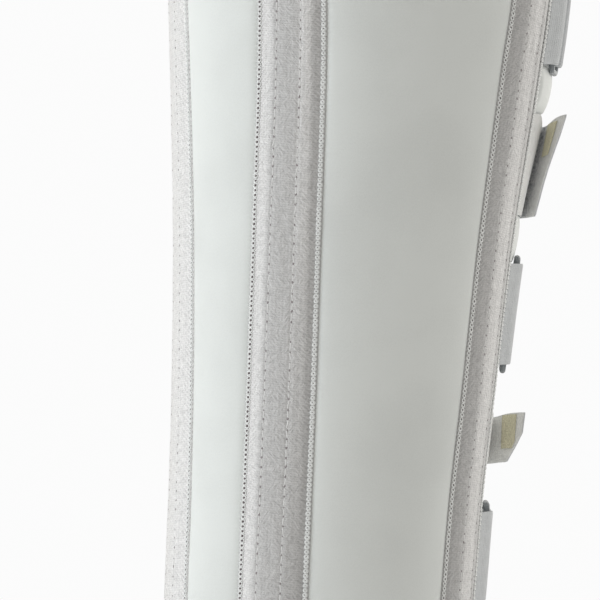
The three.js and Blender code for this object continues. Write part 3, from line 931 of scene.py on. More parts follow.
def stitch_step(tree, inp, turn):
    """How far a stitch is moved from its point, in its own axes: along the row by Shift and up by Lift."""
    back = math_node(tree, "MULTIPLY", turn, -1.0)
    sideways = math_node(tree, "MULTIPLY", inp.outputs["Shift"], math_node(tree, "SINE", back))
    forward = math_node(tree, "MULTIPLY", inp.outputs["Shift"], math_node(tree, "COSINE", back))
    return vector_node(tree, math_node(tree, "MULTIPLY", sideways, -1.0), forward, inp.outputs["Lift"])


def row_tree(name, template):
    """Sets a template at each pitch along rows of edges, standing on their stored normals."""
    tree = bpy.data.node_groups.new(name, "GeometryNodeTree")
    tree.interface.new_socket("Geometry", in_out="INPUT", socket_type="NodeSocketGeometry")
    for label, kind, default in ROW_INPUTS:
        socket = tree.interface.new_socket(label, in_out="INPUT", socket_type=kind)
        if default is not None:
            socket.default_value = default
    tree.interface.new_socket("Geometry", in_out="OUTPUT", socket_type="NodeSocketGeometry")
    inp, out = tree.nodes.new("NodeGroupInput"), tree.nodes.new("NodeGroupOutput")
    turn = stitch_turn(tree, inp)
    uneven = inp.outputs["Uneven"]
    small, large = math_node(tree, "SUBTRACT", 1.0, uneven), math_node(tree, "ADD", 1.0, uneven)
    placing = {
        "Points": row_points(tree, inp),
        "Instance": template(tree, inp),
        "Rotation": stitch_rotation(tree, turn),
        "Scale": chance_node(tree, inp, small, large),
    }
    placed = node(tree, "GeometryNodeInstanceOnPoints", placing).outputs[0]
    moving = {"Instances": placed, "Translation": stitch_step(tree, inp, turn), "Local Space": True}
    moved = node(tree, "GeometryNodeTranslateInstances", moving).outputs[0]
    real = node(tree, "GeometryNodeRealizeInstances", {"Geometry": moved}).outputs[0]
    dressing = {"Geometry": real, "Material": inp.outputs["Material"]}
    dressed = node(tree, "GeometryNodeSetMaterial", dressing).outputs[0]
    tree.links.new(dressed, out.inputs[0])
    return tree


def row_object(name, rows):
    """Rows of (point in mm, normal) as edges, with the normal stored on each point."""
    points, edges, normals = [], [], []
    for row in rows:
        first = len(points)
        points += [p * MM for p, _ in row]
        normals += [n for _, n in row]
        edges += [(first + k, first + k + 1) for k in range(len(row) - 1)]
    mesh = bpy.data.meshes.new(name)
    mesh.from_pydata(points, edges, [])
    stored = mesh.attributes.new("row_normal", "FLOAT_VECTOR", "POINT")
    for k, normal in enumerate(normals):
        stored.data[k].vector = normal
    obj = bpy.data.objects.new(name, mesh)
    bpy.context.collection.objects.link(obj)
    return obj


def sew(name, rows, tree, values, material, slot):
    """Turns rows into stitches: runs the tree on them, keeps the result as a plain mesh and settles it."""
    obj = row_object(name, rows)
    modifier = obj.modifiers.new("Stitches", "NODES")
    modifier.node_group = tree
    sockets = {item.name: item.identifier for item in tree.interface.items_tree if item.in_out == "INPUT"}
    for label, value in {**values, "Material": material}.items():
        modifier[sockets[label]] = value
    evaluated = obj.evaluated_get(bpy.context.evaluated_depsgraph_get())
    mesh = bpy.data.meshes.new_from_object(evaluated)
    if not mesh.polygons:
        raise RuntimeError(f"{name}: the tree made no stitches")
    obj.modifiers.remove(modifier)
    rail = obj.data
    obj.data = mesh
    mesh.name = name
    bpy.data.meshes.remove(rail)
    settle(obj, [material], slot)
    return obj


def stitch_trees():
    """The geometry trees of the stitching, built once."""
    if "trees" not in _made:
        _made["trees"] = {
            "thread": row_tree("Thread strokes", thread_template),
            "loop": row_tree("Thread loops", loop_template),
            "hole": row_tree("Needle holes", hole_template),
        }
    return _made["trees"]


def seam_row(sleeve, side, offset, lean, rise, inset):
    """One row along a sleeve at an offset from its stay's middle, which stops short of the tape's ends by
    the inset. Without a lean the offset is from the sleeve's centre line."""
    low, high = SLEEVE_END_INSET + inset, HEIGHT - SLEEVE_END_INSET - inset
    row = []
    for z in spread(low, high, 120):
        around = side * line_at(z, sleeve, stay_at(z, lean) + offset)
        row.append((point_at(z, around, rise), normal_at(z, around)))
    return row


def sew_sleeve(name, settings):
    """Sews one sleeve down: a bead row on each seam and a lock row on each side of the stay."""
    sleeve, side, lean, _, beads = SLEEVES[name]
    trees = stitch_trees()
    for bead in beads:
        rows = [seam_row(sleeve, side, bead["side"] * SEAM, 0, bead["rise"], BEAD_INSET)]
        pitch = {"Pitch": settings.bead_pitch}
        loop = {**BEAD_LOOP, **pitch, "Width": bead["thread"]}
        sew(f"bead_thread_{bead['edge']}_{name}", rows, trees["loop"], loop, finish("thread"), "woven_tape")
        # Dark holes that paint the shade inside each bead loop
        size = bead["hole"]
        hole = {**pitch, "Stroke Length": size, "Width": size * HOLE_SLIMNESS, "Lift": bead["lift"]}
        sew(f"bead_hole_shades_{bead['edge']}_{name}", rows, trees["hole"], hole, finish("hole"), "woven_tape")
    rows = [seam_row(sleeve, side, s * STITCH_OFFSET, lean, LOCK_RISE, LOCK_INSET) for s in (-1, 1)]
    pitch = {"Pitch": settings.lock_pitch}
    stroke = {**LOCK_STROKE, **pitch}
    sew(f"lock_thread_{name}", rows, trees["thread"], stroke, finish("sunk_thread"), "woven_tape")
    # Dark pricks that paint the shade in the lock rows' needle holes
    prick = {**LOCK_PRICK, **pitch, "Shift": settings.lock_pitch / 2}
    sew(f"lock_hole_shades_{name}", rows, trees["hole"], prick, finish("prick"), "woven_tape")


def pinch_at(past_seam, depth):
    """How far the foam is drawn in at a distance outside a bead seam."""
    return -depth * math.exp(-((max(past_seam, 0) / PINCH_REACH) ** 1.3))


def panel_swell(z, around):
    """How far the foam stands out between the sleeves, away from the bead seams."""
    lines = [line_at(z, back_sleeve, -SEAM), line_at(z, back_sleeve, SEAM), line_at(z, side_sleeve, -SEAM)]
    distance = min(abs(abs(around) - line) for line in lines) * math.radians(1) * radius_at(z)
    return PANEL_SWELL * (1 - math.exp(-distance / PANEL_RUN))


def strap_gaps():
    """The stretches of the margins that no strap presses, from the upper rim down: (low, high, swell)."""
    stops = [HEIGHT] + [z for low, high in EDGES for z in (high, low)] + [0]
    return [(stops[2 * k + 1], stops[2 * k], swell) for k, swell in enumerate(SWELLS)]


GAPS = strap_gaps()


def margin_rise(z, offset):
    """Rise of the margins: pressed in under a strap and swelling between two. At a rim the swell goes on to
    the edge."""
    share = clamp((offset - SEAM - MARGIN_START) / MARGIN_RUN)
    rise = -STRAP_PRESS
    for low, high, swell in GAPS:
        if low < z < high:
            turn = math.pi * (z - low) / (high - low)
            if high == HEIGHT or low == 0:
                from_strap = high - z if low == 0 else z - low
                turn = math.pi / 2 * min(1.0, 2 * from_strap / (high - low))
            rise += (STRAP_PRESS + swell) * math.sin(turn) ** 0.4
    return share * rise


def place_on(sleeve, offset):
    """The way round of a line beside a sleeve, by the height."""
    return lambda z: line_at(z, sleeve, offset)


def mirrored(place):
    """The same line on the other side of the back."""
    return lambda z: -place(z)


def between(first, second, share):
    """A line a share of the way from one to another."""
    return lambda z: lerp(first(z), second(z), share)


def panel_columns(first, second, steps):
    """Even columns between two lines, far from a seam."""
    return [(between(first, second, k / steps), SEAM_STEPS[-1], 0) for k in range(1, steps)]


def sleeve_columns(sleeve):
    """Columns beside and under a sleeve, from its rear to its front."""
    rear = [(place_on(sleeve, -SEAM - d), d, -SEAM - d) for d in SEAM_STEPS[:0:-1]]
    seat = [(place_on(sleeve, offset), 0.0, offset) for offset in SEAT_STEPS]
    front = [(place_on(sleeve, SEAM + d), d, SEAM + d) for d in SEAM_STEPS[1:]]
    return rear + seat + front


def margin_columns():
    """Columns of a front margin out to its turned edge."""
    offsets = spread(CLEAR_OF_SEAM, EDGE_OFFSET - EDGE_STEPS[-1], 10)[1:]
    offsets += [EDGE_OFFSET - d for d in EDGE_STEPS[-2::-1]]
    return [(place_on(side_sleeve, offset), offset - SEAM, offset) for offset in offsets]


def wrap_columns():
    """Columns of the wrap's face from the medial edge round to the lateral one: the way round by the height,
    the distance past the nearest seam, and the offset from a sleeve's centre line, or 0 in a panel."""
    rear = place_on(back_sleeve, -CLEAR_OF_SEAM)
    panel = panel_columns(place_on(back_sleeve, CLEAR_OF_SEAM), place_on(side_sleeve, -CLEAR_OF_SEAM), 30)
    lateral = sleeve_columns(back_sleeve) + panel + sleeve_columns(side_sleeve) + margin_columns()
    medial = [(mirrored(place), seam, offset) for place, seam, offset in reversed(lateral)]
    return medial + panel_columns(mirrored(rear), rear, 14) + lateral


def wrap_levels():
    """Heights of the wrap's rows, close together where the rims turn over and at the straps' edges."""
    levels = set(EDGE_STEPS) | {HEIGHT - d for d in EDGE_STEPS}
    for low, high in EDGES:
        levels |= set(spread(low, high, 9))
    for low, high, _ in GAPS:
        heights = [lerp(low, high, share) for share in GAP_SHARES]
        levels |= {z for z in heights if EDGE_STEPS[-1] < z < HEIGHT - EDGE_STEPS[-1]}
    return sorted(levels)


def round_share(distance):
    """Share of the wall's half thickness left at a distance from a turned edge."""
    return math.sqrt(max(0.0, 1 - (1 - clamp(distance / EDGE_STEPS[-1])) ** 2))


def foam_rise(z, around, seam, offset, depth):
    """Rise of the foam's outer face at a place: drawn in at the seams and swelling away from them."""
    rise = pinch_at(seam, depth)
    if seam <= 0:
        return rise
    if abs(around) > side_sleeve(z):
        return rise + margin_rise(z, abs(offset))
    rise += panel_swell(z, around)
    return rise + DENT_DEPTH * clamp(seam / 4) * noise.noise(point_at(z, around, 0) / DENT_SIZE)


def build_wrap(settings):
    """The foam wall: drawn in at the bead seams, swelling between the straps, with turned edges."""
    columns, levels = wrap_columns(), wrap_levels()
    middle = -FOAM / 2
    upper, lower = [], []
    for place, seam, offset in columns:
        edge = EDGE_OFFSET - abs(offset) if abs(offset) > CLEAR_OF_SEAM else FOAM
        over, under = [], []
        for z in levels:
            share = round_share(min(z, HEIGHT - z)) * round_share(edge)
            around = place(z)
            rise = foam_rise(z, around, seam, offset, settings.seam_depth)
            over.append(point_at(z, around, lerp(middle, rise, share)))
            under.append(point_at(z, around, lerp(middle, -FOAM, share)))
        upper.append(over)
        lower.append(under)
    stored = ("seam_mm", lambda c, r, grid: FAR_FROM_SEAM if grid else columns[c][1])
    obj = slab("foam_wrap", upper, lower, lambda c, r: (c, levels[r]), None, stored)
    settle(obj, [finish("foam")], "foam_laminate", "wrap")


def tape_rise(offset, stay, end_share):
    """Rise of a sleeve's tape: low at the bead seams, full over the stay, nipped at the stitch rows. Its
    flank towards the back slopes evenly and the other falls off near the seam."""
    if abs(offset) > SEAM:
        lip = clamp((abs(offset) - SEAM) / (SLEEVE_WIDTH / 2 - SEAM))
        return TAPE_FOOT + TAPE_LIP * math.sin(lip * math.pi * 0.75)
    away = offset - stay
    if away < 0:
        flank = 1 - (1 - clamp((SEAM + offset) / (SEAM + stay - STITCH_OFFSET))) ** 1.3
    else:
        flank = 1 - (1 - clamp((SEAM - offset) / (SEAM - stay - STITCH_OFFSET))) ** 1.7
    crown = TAPE_CROWN * math.cos(clamp(abs(away) / STITCH_OFFSET) * math.pi / 2)
    nip = NIP_DEPTH * math.exp(-(((abs(away) - STITCH_OFFSET) / NIP_WIDTH) ** 2))
    return lerp(TAPE_FOOT + TAPE_END_LIFT, lerp(TAPE_FOOT, TAPE_TOP, flank) + crown - nip, end_share)


def painted_lane_tone(lanes, offset, z):
    """Painted light and shade at a place on a sleeve, lane by lane, with boundaries that waver a little."""
    waver = LANE_WAVER * noise.noise(Vector((z / WAVER_ALONG, lanes[0][0][1], offset / WAVER_ACROSS)))
    start, end = LANE_CHANGE
    share = clamp((z / HEIGHT - start) / (end - start))
    stops = [(lerp(a, b, share), lerp(low, high, share)) for (a, low), (b, high) in zip(*lanes)]
    place = clamp(offset + waver, stops[0][0], stops[-1][0])
    for (a, low), (b, high) in zip(stops, stops[1:]):
        if a <= place <= b:
            return lerp(low, high, (place - a) / (b - a))
    return stops[-1][1]


def build_sleeve(name):
    """One stay sleeve of woven tape."""
    sleeve, side, lean, lanes, _ = SLEEVES[name]
    half = SLEEVE_WIDTH / 2
    low, high = SLEEVE_END_INSET, HEIGHT - SLEEVE_END_INSET
    levels, offsets = spread(low, high, 240), spread(-half, half, 60)
    upper, lower = [], []
    for offset in offsets:
        thinned = 0.4 + 0.6 * clamp((half - abs(offset)) / 0.5)
        over, under = [], []
        for z in levels:
            end_share = math.sin(clamp(min(z - low, high - z) / TAPE_END_RUN) * math.pi / 2)
            around = side * line_at(z, sleeve, offset)
            spot = Vector((offset / UNEVEN_ACROSS, z / UNEVEN_ALONG, side * sleeve(0)))
            uneven = TAPE_UNEVEN * noise.noise(spot)
            rise = tape_rise(offset, stay_at(z, lean), end_share) + uneven
            under_rise = max(TAPE_UNDER, rise - TAPE_THICK) if abs(offset) > SEAM - 1 else TAPE_UNDER
            over.append(point_at(z, around, lerp((rise + under_rise) / 2, rise, thinned)))
            under.append(point_at(z, around, under_rise))
        upper.append(over)
        lower.append(under)
    # Painted light and shade, stored on the tape's points lane by lane
    stored = ("painted_lane_light", lambda c, r, grid: painted_lane_tone(lanes, offsets[c], levels[r]))
    obj = slab(f"tape_{name}", upper, lower, lambda c, r: (offsets[c], levels[r]), None, stored)
    settle(obj, [finish("tape")], "woven_tape", name)


def bridge_drop(z, around):
    """How far a strap in tension drops where it bridges the open front."""
    edge = margin_edge_at(z)
    past = min(around - edge, 360 - edge - around)
    if past <= 0:
        return 0
    leg = radius_at(z) - FOAM
    pressed = radius_at(z) - STRAP_PRESS
    straight = math.degrees(math.acos(leg / pressed))
    if past < straight:
        return leg / math.cos(math.radians(straight - past)) - pressed
    return leg - pressed


def wire_bend():
    """Half a turn of webbing round a ring's wire: (how far past the wire, rise) for each step."""
    turns = [math.pi * k / BEND_STEPS - math.pi / 2 for k in range(BEND_STEPS + 1)]
    return [(BEND_RADIUS * math.cos(turn), RING_RISE + BEND_RADIUS * math.sin(turn)) for turn in turns]


def flap_place(z, strap, share):
    """Way round and rise of a free end, at a height and a share of its length."""
    around = line_at(z, side_sleeve, FLAP_ROOT - FLAP_LENGTH * share)
    return around, RETURN_RISE + FLAP_LENGTH * strap["lift"] * share**FLAP_CURL + bridge_drop(z, around)


def strap_path(z, strap):
    """Places along a strap at one height from its sewn end: (way round, rise, share along the flap)."""

    def near(offset):
        return line_at(z, side_sleeve, offset)

    def far(offset):
        return 360 - near(offset)

    root = near(FLAP_ROOT)
    settled = far(FRONT_WIRE + RETURN_SETTLE)
    over_front = spread(root, settled, 44)
    settling = spread(settled, far(FRONT_WIRE), 12)[1:]
    margin = spread(near(TAPE_EDGE - SEWN_TUCK), near(EDGE_OFFSET), 14)
    margin += spread(near(EDGE_OFFSET), root, 4)[1:]
    path = [(a, BASE_RISE + bridge_drop(z, a), 0) for a in margin + over_front[1:] + settling]
    path += [(far(FRONT_WIRE - past), rise, 0) for past, rise in wire_bend()[1:-1]]
    over_wire = RING_RISE + BEND_RADIUS - RETURN_RISE
    for a in settling[::-1] + over_front[::-1]:
        gone = clamp((far(FRONT_WIRE) - a) / (far(FRONT_WIRE) - settled))
        rise = RETURN_RISE + over_wire * (1 + math.cos(math.pi * gone)) / 2
        path.append((a, rise + bridge_drop(z, a), 0))
    path += [(*flap_place(z, strap, share), share) for share in spread(0, 1, 16)[1:]]
    return path


def band_frames(z, places, side):
    """Middle points of a band at one height, with its way across for each."""
    middle = [point_at(z, side * a, rise) for a, rise, _ in places]
    frames = []
    for k, point in enumerate(middle):
        along = middle[min(k + 1, len(middle) - 1)] - middle[max(k - 1, 0)]
        along.z = 0
        along.normalize()
        frames.append((point, Vector((-along.y, along.x, 0))))
    return frames


def cut_share(end, share):
    """Where the flap's lower edge has come to at a share of its length."""
    for (first, before), (last, after) in zip(end, end[1:]):
        if first <= share <= last:
            return lerp(before, after, (share - first) / (last - first))
    return 1


def fold_nearness(path, z, flap_reach, rest_reach):
    """How near each place of a strap's path is to the fold of its free end, from 0 to 1. The reaches in mm
    are for the free end and for the rest of the strap."""
    root = line_at(z, side_sleeve, FLAP_ROOT)
    to_mm = math.radians(radius_at(z))
    reaches = [flap_reach if flap else rest_reach for _, _, flap in path]
    return [math.exp(-(((a - root) * to_mm / reach) ** 2)) for (a, _, _), reach in zip(path, reaches)]


def rows_beside(shares, place):
    """The row nearest to a place across a band, the next one past the place, and the share between them."""
    row = min(range(len(shares)), key=lambda k: abs(shares[k] - place))
    other = min(row + 1, len(shares) - 1) if shares[row] < place else max(row - 1, 0)
    gap = shares[other] - shares[row]
    return row, other, (place - shares[row]) / gap if gap else 0


def band(name, low, high, path_at, side, thickness, end=None, lining=None, fold=None):
    """A band of webbing between two heights along a path, with soft edges. Fold gives the dips of a strap's
    lower and upper edge where it folds back, the painted shade in the fold, and the heights of those edges."""
    shares = [0, 0.006, 0.02] + spread(0, 1, 11)[1:-1] + [0.98, 0.994, 1]
    path = path_at(low)
    heights = [lerp(low, high, share) for share in shares]
    grid = [band_frames(z, path_at(z), side) for z in heights]
    dips, deep, (foot, head) = fold or ((0, 0), 1, (low, high))
    sinking = fold_nearness(path, low, *DIP_REACH)
    # How deep the painted shade of the fold lies at each place
    shade = fold_nearness(path, low, *SHADE_REACH)
    width = high - low
    upper, lower, lengths = [], [], []
    run = 0.0
    for c, (_, _, flap) in enumerate(path):
        if c:
            run += (grid[0][c][0] - grid[0][c - 1][0]).length
        lengths.append(run)
        over, under = [], []
        cut = cut_share(end, flap) if end and flap > 0 else 1
        tip = 0.45 + 0.55 * clamp(min(c, len(path) - 1 - c) / 2)
        for share in shares:
            placed = 1 - cut * (1 - share)
            row, other, t = rows_beside(shares, placed)
            point = grid[row][c][0].lerp(grid[other][c][0], t)
            point.z -= sinking[c] * lerp(*dips, (lerp(low, high, placed) - foot) / (head - foot))
            across = grid[row][c][1]
            edge = min(share, 1 - share) * width * cut
            half = thickness / 2 * (0.45 + 0.55 * clamp(edge / 0.7)) * tip
            over.append(point + across * half)
            under.append(point - across * half)
        upper.append(over)
        lower.append(under)
    # Painted shade: the loop side darkens towards the fold of the free end
    shaded = ("fold_shade", lambda c, r, grid: lerp(1, deep, shade[c] ** 1.5))
    return slab(name, upper, lower, lambda c, r: (shares[r] * width, lengths[c]), lining, shaded)


def build_strap(i):
    """One strap with its free end."""
    strap, (low, high) = STRAPS[i], EDGES[i]

    def path_at(z):
        return strap_path(z, strap)

    sewn = -strap["ring"]
    lining = 1 if sewn > 0 else 0
    fold = (strap["dip"], strap["fold"], EDGES[i])
    obj = band(f"webbing_strap_{i + 1}", low, high, path_at, sewn, WEBBING, strap["end"], lining, fold)
    settle(obj, [finish("webbing"), finish("nap")], "webbing", f"strap_{i + 1}")


def build_hook(i):
    """The hook patch under one free end, tapered downwards and cut along the free end's edge."""
    strap, (low, high) = STRAPS[i], EDGES[i]
    width = high - low
    top = high - HOOK_EDGE * width
    bottom = max(top - HOOK_HEIGHT, low)
    upper_reach, lower_reach = strap["hook"]
    under = (WEBBING + HOOK_THICK) / 2 + LAYER_GAP
    steps = spread(0, 1, 10)
    border = 0.5
    cuts = []
    for step in steps:
        left = cut_share(strap["end"], lerp(*lower_reach, step)) * width - (high - top) - border
        cuts.append((step, clamp(left / (top - bottom))))

    def path_at(z):
        share = (z - bottom) / (top - bottom)
        first, last = (lerp(a, b, share) for a, b in zip(lower_reach, upper_reach))
        places = []
        for step in steps:
            around, rise = flap_place(z, strap, lerp(first, last, step))
            places.append((around, rise - under, step))
        return places

    fold = (strap["dip"], 1, EDGES[i])
    obj = band(f"hook_tape_{i + 1}", bottom, top, path_at, -strap["ring"], HOOK_THICK, cuts, None, fold)
    settle(obj, [finish("hook")], "hook_tape", f"hook_patch_{i + 1}")


def build_keeper(i):
    """The loop of webbing round one ring's rear wire."""
    strap, (low, high) = STRAPS[i], EDGES[i]

    def path_at(z):
        def near(offset):
            return line_at(z, side_sleeve, offset)

        places = [(a, BASE_RISE, 0) for a in spread(near(TAPE_EDGE - SEWN_TUCK), near(REAR_WIRE), 8)[:-1]]
        places += [(near(REAR_WIRE + past), rise, 0) for past, rise in wire_bend()]
        for share in spread(0, 1, 10)[1:]:
            rise = lerp(BASE_RISE + WEBBING, RING_RISE + BEND_RADIUS, (1 + math.cos(math.pi * share)) / 2)
            places.append((near(lerp(REAR_WIRE, TAPE_EDGE - KEEPER_TUCK, share)), rise, 0))
        return places

    obj = band(f"webbing_keeper_{i + 1}", low, high, path_at, strap["ring"], WEBBING)
    settle(obj, [finish("webbing")], "webbing", f"keeper_{i + 1}")


def build_ring(i):
    """One rectangular ring of round plastic wire."""
    strap, (low, high) = STRAPS[i], EDGES[i]

    def place(z, offset):
        return point_at(z, strap["ring"] * line_at(z, side_sleeve, offset), RING_RISE)

    rear = [place(z, REAR_WIRE) for z in (low, high)]
    front = [place(z, FRONT_WIRE) for z in (low, high)]
    rear_middle, front_middle = rear[0].lerp(rear[1], 0.5), front[0].lerp(front[1], 0.5)
    centre = rear_middle.lerp(front_middle, 0.5)
    up = (front[1] - front[0] + rear[1] - rear[0]).normalized()
    forward = front_middle - rear_middle
    half_depth = forward.length / 2
    forward = (forward - up * forward.dot(up)).normalized()
    out = forward.cross(up)
    half_length = (high - low) / 2 + RING_PLAY + RING_WIRE / 2
    sides, steps = 14, 9
    points, count = [], 0
    for quarter in range(4):
        a = 1 if quarter in (0, 3) else -1
        b = 1 if quarter < 2 else -1
        for k in range(steps):
            turn = math.pi / 2 * (quarter + k / (steps - 1))
            away = forward * math.cos(turn) + up * math.sin(turn)
            bend = centre + forward * a * (half_depth - RING_CORNER) + up * b * (half_length - RING_CORNER)
            bend += away * RING_CORNER
            for side in range(sides):
                spin = 2 * math.pi * side / sides
                points.append(bend + (away * math.cos(spin) + out * math.sin(spin)) * RING_WIRE / 2)
            count += 1
    faces = []
    for s in range(count):
        for side in range(sides):
            a, b = s * sides, (s + 1) % count * sides
            faces.append((a + side, b + side, b + (side + 1) % sides, a + (side + 1) % sides))
    obj = new_mesh_object(f"plastic_ring_{i + 1}", points, faces)
    face_out(obj)
    settle(obj, [finish("ring")], "ring_plastic", f"ring_{i + 1}")


def color_setting(name, description, default):
    """A colour among the settings."""
    settings = {"name": name, "description": description, "default": default}
    return bpy.props.FloatVectorProperty(subtype="COLOR", **settings)


def number_setting(name, description, default, unit="NONE"):
    """A number among the settings."""
    return bpy.props.FloatProperty(name=name, description=description, default=default, unit=unit)


class ImmobilizerFinish(bpy.types.PropertyGroup):
    """Colours and fine sizes of the immobilizer's finish."""

    foam_color: color_setting("Foam colour", "Colour of the laminated foam", (0.80, 0.82, 0.81))
    tape_color: color_setting("Tape colour", "Colour of the woven tape", (0.95, 0.933, 0.938))
    webbing_color: color_setting("Webbing colour", "Colour of the loop webbing", (0.70, 0.72, 0.745))
    # Partly the loop side's own paler tone, partly painted light on the strap's shaded undersides
    loop_side_lit_color: color_setting("Loop side colour", "Colour of the webbing's loop side", (0.97, 0.97, 0.96))
    hook_color: color_setting("Hook tape colour", "Colour of the hook patches", (0.92, 0.87, 0.64))
    thread_color: color_setting("Thread colour", "Colour of the stitching", (0.92, 0.93, 0.93))
    # Colour of the painted shade in the needle holes
    hole_shade_color: color_setting("Needle hole colour", "Colour in the needle holes", (0.22, 0.18, 0.19))
    ring_color: color_setting("Ring colour", "Colour of the plastic rings", (0.27, 0.29, 0.31))
    bead_pitch: number_setting("Bead pitch", "Length of one bead stitch", 0.0023, "LENGTH")
    lock_pitch: number_setting("Lock pitch", "Length of one lock stitch", 0.0046, "LENGTH")
    seam_depth: number_setting("Seam depth", "How far the foam is drawn in at a seam, in mm", 1.3)


class ImmobilizerStage(bpy.types.PropertyGroup):
    """Light and ground of the picture."""

    key_power: number_setting("Key light", "Power of the large light at the left", 17.2, "POWER")
    edge_power: number_setting("Edge light", "Power of the light behind at the right", 4.0, "POWER")
    ambient: number_setting("Ambient", "Strength of the light from the room in front", 0.47)
    wall_light: number_setting("Wall light", "Strength of the light from the wall behind", 1.15)
    ambient_color: color_setting("Ambient colour", "Tone of the light from all round", (1, 0.985, 0.935))
    backdrop_color: color_setting("Backdrop colour", "What is seen behind", (0.97, 0.97, 0.97))


class IMMOBILIZER_OT_wrap(bpy.types.Operator):
    """Build the foam wrap"""

    bl_idname = "immobilizer.wrap"
    bl_label = "Foam wrap"

    def execute(self, context):
        build_wrap(context.scene.immobilizer_finish)
        return {"FINISHED"}


class IMMOBILIZER_OT_sleeves(bpy.types.Operator):
    """Build the woven stay sleeves"""

    bl_idname = "immobilizer.sleeves"
    bl_label = "Stay sleeves"

    def execute(self, context):
        for name in SLEEVES:
            build_sleeve(name)
        return {"FINISHED"}


class IMMOBILIZER_OT_sleeve_stitching(bpy.types.Operator):
    """Sew the sleeves down: bead stitches on their edges and lock stitches beside the stay"""

    bl_idname = "immobilizer.sleeve_stitching"
    bl_label = "Sleeve stitching"

    def execute(self, context):
        for name in SLEEVES:
            sew_sleeve(name, context.scene.immobilizer_finish)
        return {"FINISHED"}


class IMMOBILIZER_OT_straps(bpy.types.Operator):
    """Build the webbing straps with their free ends"""

    bl_idname = "immobilizer.straps"
    bl_label = "Straps"

    def execute(self, context):
        for i in range(len(STRAPS)):
            build_strap(i)
        return {"FINISHED"}


class IMMOBILIZER_OT_hooks(bpy.types.Operator):
    """Build the hook patches under the free ends"""

    bl_idname = "immobilizer.hooks"
    bl_label = "Hook patches"

    def execute(self, context):
        for i in range(len(STRAPS)):
            build_hook(i)
        return {"FINISHED"}


class IMMOBILIZER_OT_keepers(bpy.types.Operator):
    """Build the keeper loops that hold the rings"""

    bl_idname = "immobilizer.keepers"
    bl_label = "Keepers"

    def execute(self, context):
        for i in range(len(STRAPS)):
            build_keeper(i)
        return {"FINISHED"}


class IMMOBILIZER_OT_rings(bpy.types.Operator):
    """Build the plastic rings"""

    bl_idname = "immobilizer.rings"
    bl_label = "Rings"

    def execute(self, context):
        for i in range(len(STRAPS)):
            build_ring(i)
        return {"FINISHED"}


def camera_axes():
    """Directions from the object: to the photograph's camera and to the picture's right."""
    turn = math.radians(PHOTO_TURN)
    return Vector((-math.sin(turn), math.cos(turn), 0)), Vector((-math.cos(turn), -math.sin(turn), 0))


def look_from(obj, place, target):
    """Sets a camera or light at a place, facing a target."""
    back = (place - target).normalized()
    right = Vector((0, 0, 1)).cross(back).normalized()
    turn = Matrix((right, back.cross(right), back)).transposed()
    obj.matrix_world = Matrix.Translation(place * MM) @ turn.to_4x4()


def make_camera(scene, middle):
    """The photograph's camera, level and looking past the object's middle."""
    to_camera, right = camera_axes()
    target = middle - right * PHOTO_SHIFT
    data = bpy.data.cameras.new("photo_camera")
    data.sensor_width = SENSOR
    data.lens = PHOTO_SCALE * PHOTO_DISTANCE * SENSOR / PHOTO_SIDE
    camera = bpy.data.objects.new("photo_camera", data)
    bpy.context.collection.objects.link(camera)
    look_from(camera, target + to_camera * PHOTO_DISTANCE, target)
    scene.camera = camera


def make_light(name, light, middle, power):
    """A soft square light that faces the object's middle."""
    toward, sideways, upward = light["way"]
    to_camera, right = camera_axes()
    way = to_camera * toward + right * sideways + Vector((0, 0, upward))
    data = bpy.data.lights.new(name, "AREA")
    data.color = light["color"]
    data.size = light["size"]
    data.energy = power
    obj = bpy.data.objects.new(name, data)
    bpy.context.collection.objects.link(obj)
    look_from(obj, middle + way * light["distance"], middle)


def make_floor():
    """A pale round floor."""
    rings, sectors = 2, 72
    points = [Vector((0, 0, 0))]
    for ring in range(1, rings + 1):
        for k in range(sectors):
            turn = 2 * math.pi * k / sectors
            points.append(Vector((math.cos(turn), math.sin(turn), 0)) * FLOOR_RADIUS * ring / rings)
    faces = [(0, 1 + k, 1 + (k + 1) % sectors) for k in range(sectors)]
    for k in range(sectors):
        a, b = 1 + k, 1 + (k + 1) % sectors
        faces.append((a, a + sectors, b + sectors, b))
    floor = new_mesh_object("floor", points, faces)
    dark_share = FLOOR_DARK / FLOOR_COLOR[0]
    finished = mottled("pale_floor", FLOOR_COLOR, dark_share, (0.01, 0.4), 0.8, specular=0.2)
    floor.data.materials.append(finished[0])


def make_world(scene, settings):
    """A white wall behind, brighter than the room in front of it, seen as an even backdrop."""
    world = bpy.data.worlds.new("white_studio")
    world.use_nodes = True
    tree = world.node_tree
    tree.nodes.clear()
    direction = node(tree, "ShaderNodeTexCoord").outputs["Generated"]
    facing = {0: direction, 1: camera_axes()[0]}
    toward = node(tree, "ShaderNodeVectorMath", facing, operation="DOT_PRODUCT").outputs["Value"]
    strength = span_node(tree, toward, ROOM_FROM, WALL_FROM, settings.ambient, settings.wall_light)
    felt = node(tree, "ShaderNodeBackground", {"Color": (*settings.ambient_color, 1), "Strength": strength})
    seen = node(tree, "ShaderNodeBackground", {"Color": (*settings.backdrop_color, 1), "Strength": 1.0})
    path = node(tree, "ShaderNodeLightPath").outputs["Is Camera Ray"]
    mixed = node(tree, "ShaderNodeMixShader", {0: path, 1: felt.outputs[0], 2: seen.outputs[0]})
    out = tree.nodes.new("ShaderNodeOutputWorld")
    tree.links.new(mixed.outputs[0], out.inputs[0])
    scene.world = world


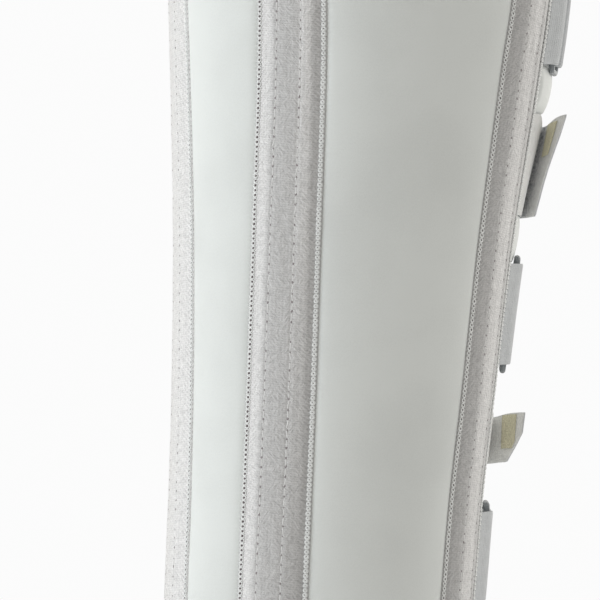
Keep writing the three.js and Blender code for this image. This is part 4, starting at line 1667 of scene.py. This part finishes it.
class IMMOBILIZER_OT_stage(bpy.types.Operator):
    """Set the floor, the light and the camera of the photograph"""

    bl_idname = "immobilizer.stage"
    bl_label = "Stage"

    def execute(self, context):
        settings = context.scene.immobilizer_stage
        middle = point_at(PHOTO_HEIGHT, 0, -radius_at(PHOTO_HEIGHT))
        make_camera(context.scene, middle)
        make_light("key_light", KEY_LIGHT, middle, settings.key_power)
        make_light("edge_light", EDGE_LIGHT, middle, settings.edge_power)
        make_floor()
        make_world(context.scene, settings)
        context.scene.view_settings.view_transform = "Standard"
        return {"FINISHED"}


OPERATORS = (
    IMMOBILIZER_OT_wrap,
    IMMOBILIZER_OT_sleeves,
    IMMOBILIZER_OT_sleeve_stitching,
    IMMOBILIZER_OT_straps,
    IMMOBILIZER_OT_hooks,
    IMMOBILIZER_OT_keepers,
    IMMOBILIZER_OT_rings,
    IMMOBILIZER_OT_stage,
)


class IMMOBILIZER_PT_panel(bpy.types.Panel):
    """Lists the immobilizer's pieces and settings"""

    bl_label = "Knee immobilizer"
    bl_space_type = "VIEW_3D"
    bl_region_type = "UI"
    bl_category = "Immobilizer"

    def draw(self, context):
        for operator in OPERATORS:
            self.layout.operator(operator.bl_idname)
        for settings in (context.scene.immobilizer_finish, context.scene.immobilizer_stage):
            for name in settings.__annotations__:
                self.layout.prop(settings, name)


CLASSES = (ImmobilizerFinish, ImmobilizerStage, *OPERATORS, IMMOBILIZER_PT_panel)


def register():
    """Adds the classes and their settings."""
    for cls in CLASSES:
        bpy.utils.register_class(cls)
    bpy.types.Scene.immobilizer_finish = bpy.props.PointerProperty(type=ImmobilizerFinish)
    bpy.types.Scene.immobilizer_stage = bpy.props.PointerProperty(type=ImmobilizerStage)


def unregister():
    """Removes the classes and their settings."""
    del bpy.types.Scene.immobilizer_stage
    del bpy.types.Scene.immobilizer_finish
    for cls in reversed(CLASSES):
        bpy.utils.unregister_class(cls)


def main():
    """Builds every piece."""
    register()
    bpy.ops.immobilizer.wrap()
    bpy.ops.immobilizer.sleeves()
    bpy.ops.immobilizer.sleeve_stitching()
    bpy.ops.immobilizer.straps()
    bpy.ops.immobilizer.hooks()
    bpy.ops.immobilizer.keepers()
    bpy.ops.immobilizer.rings()
    bpy.ops.immobilizer.stage()


if __name__ == "__main__":
    main()
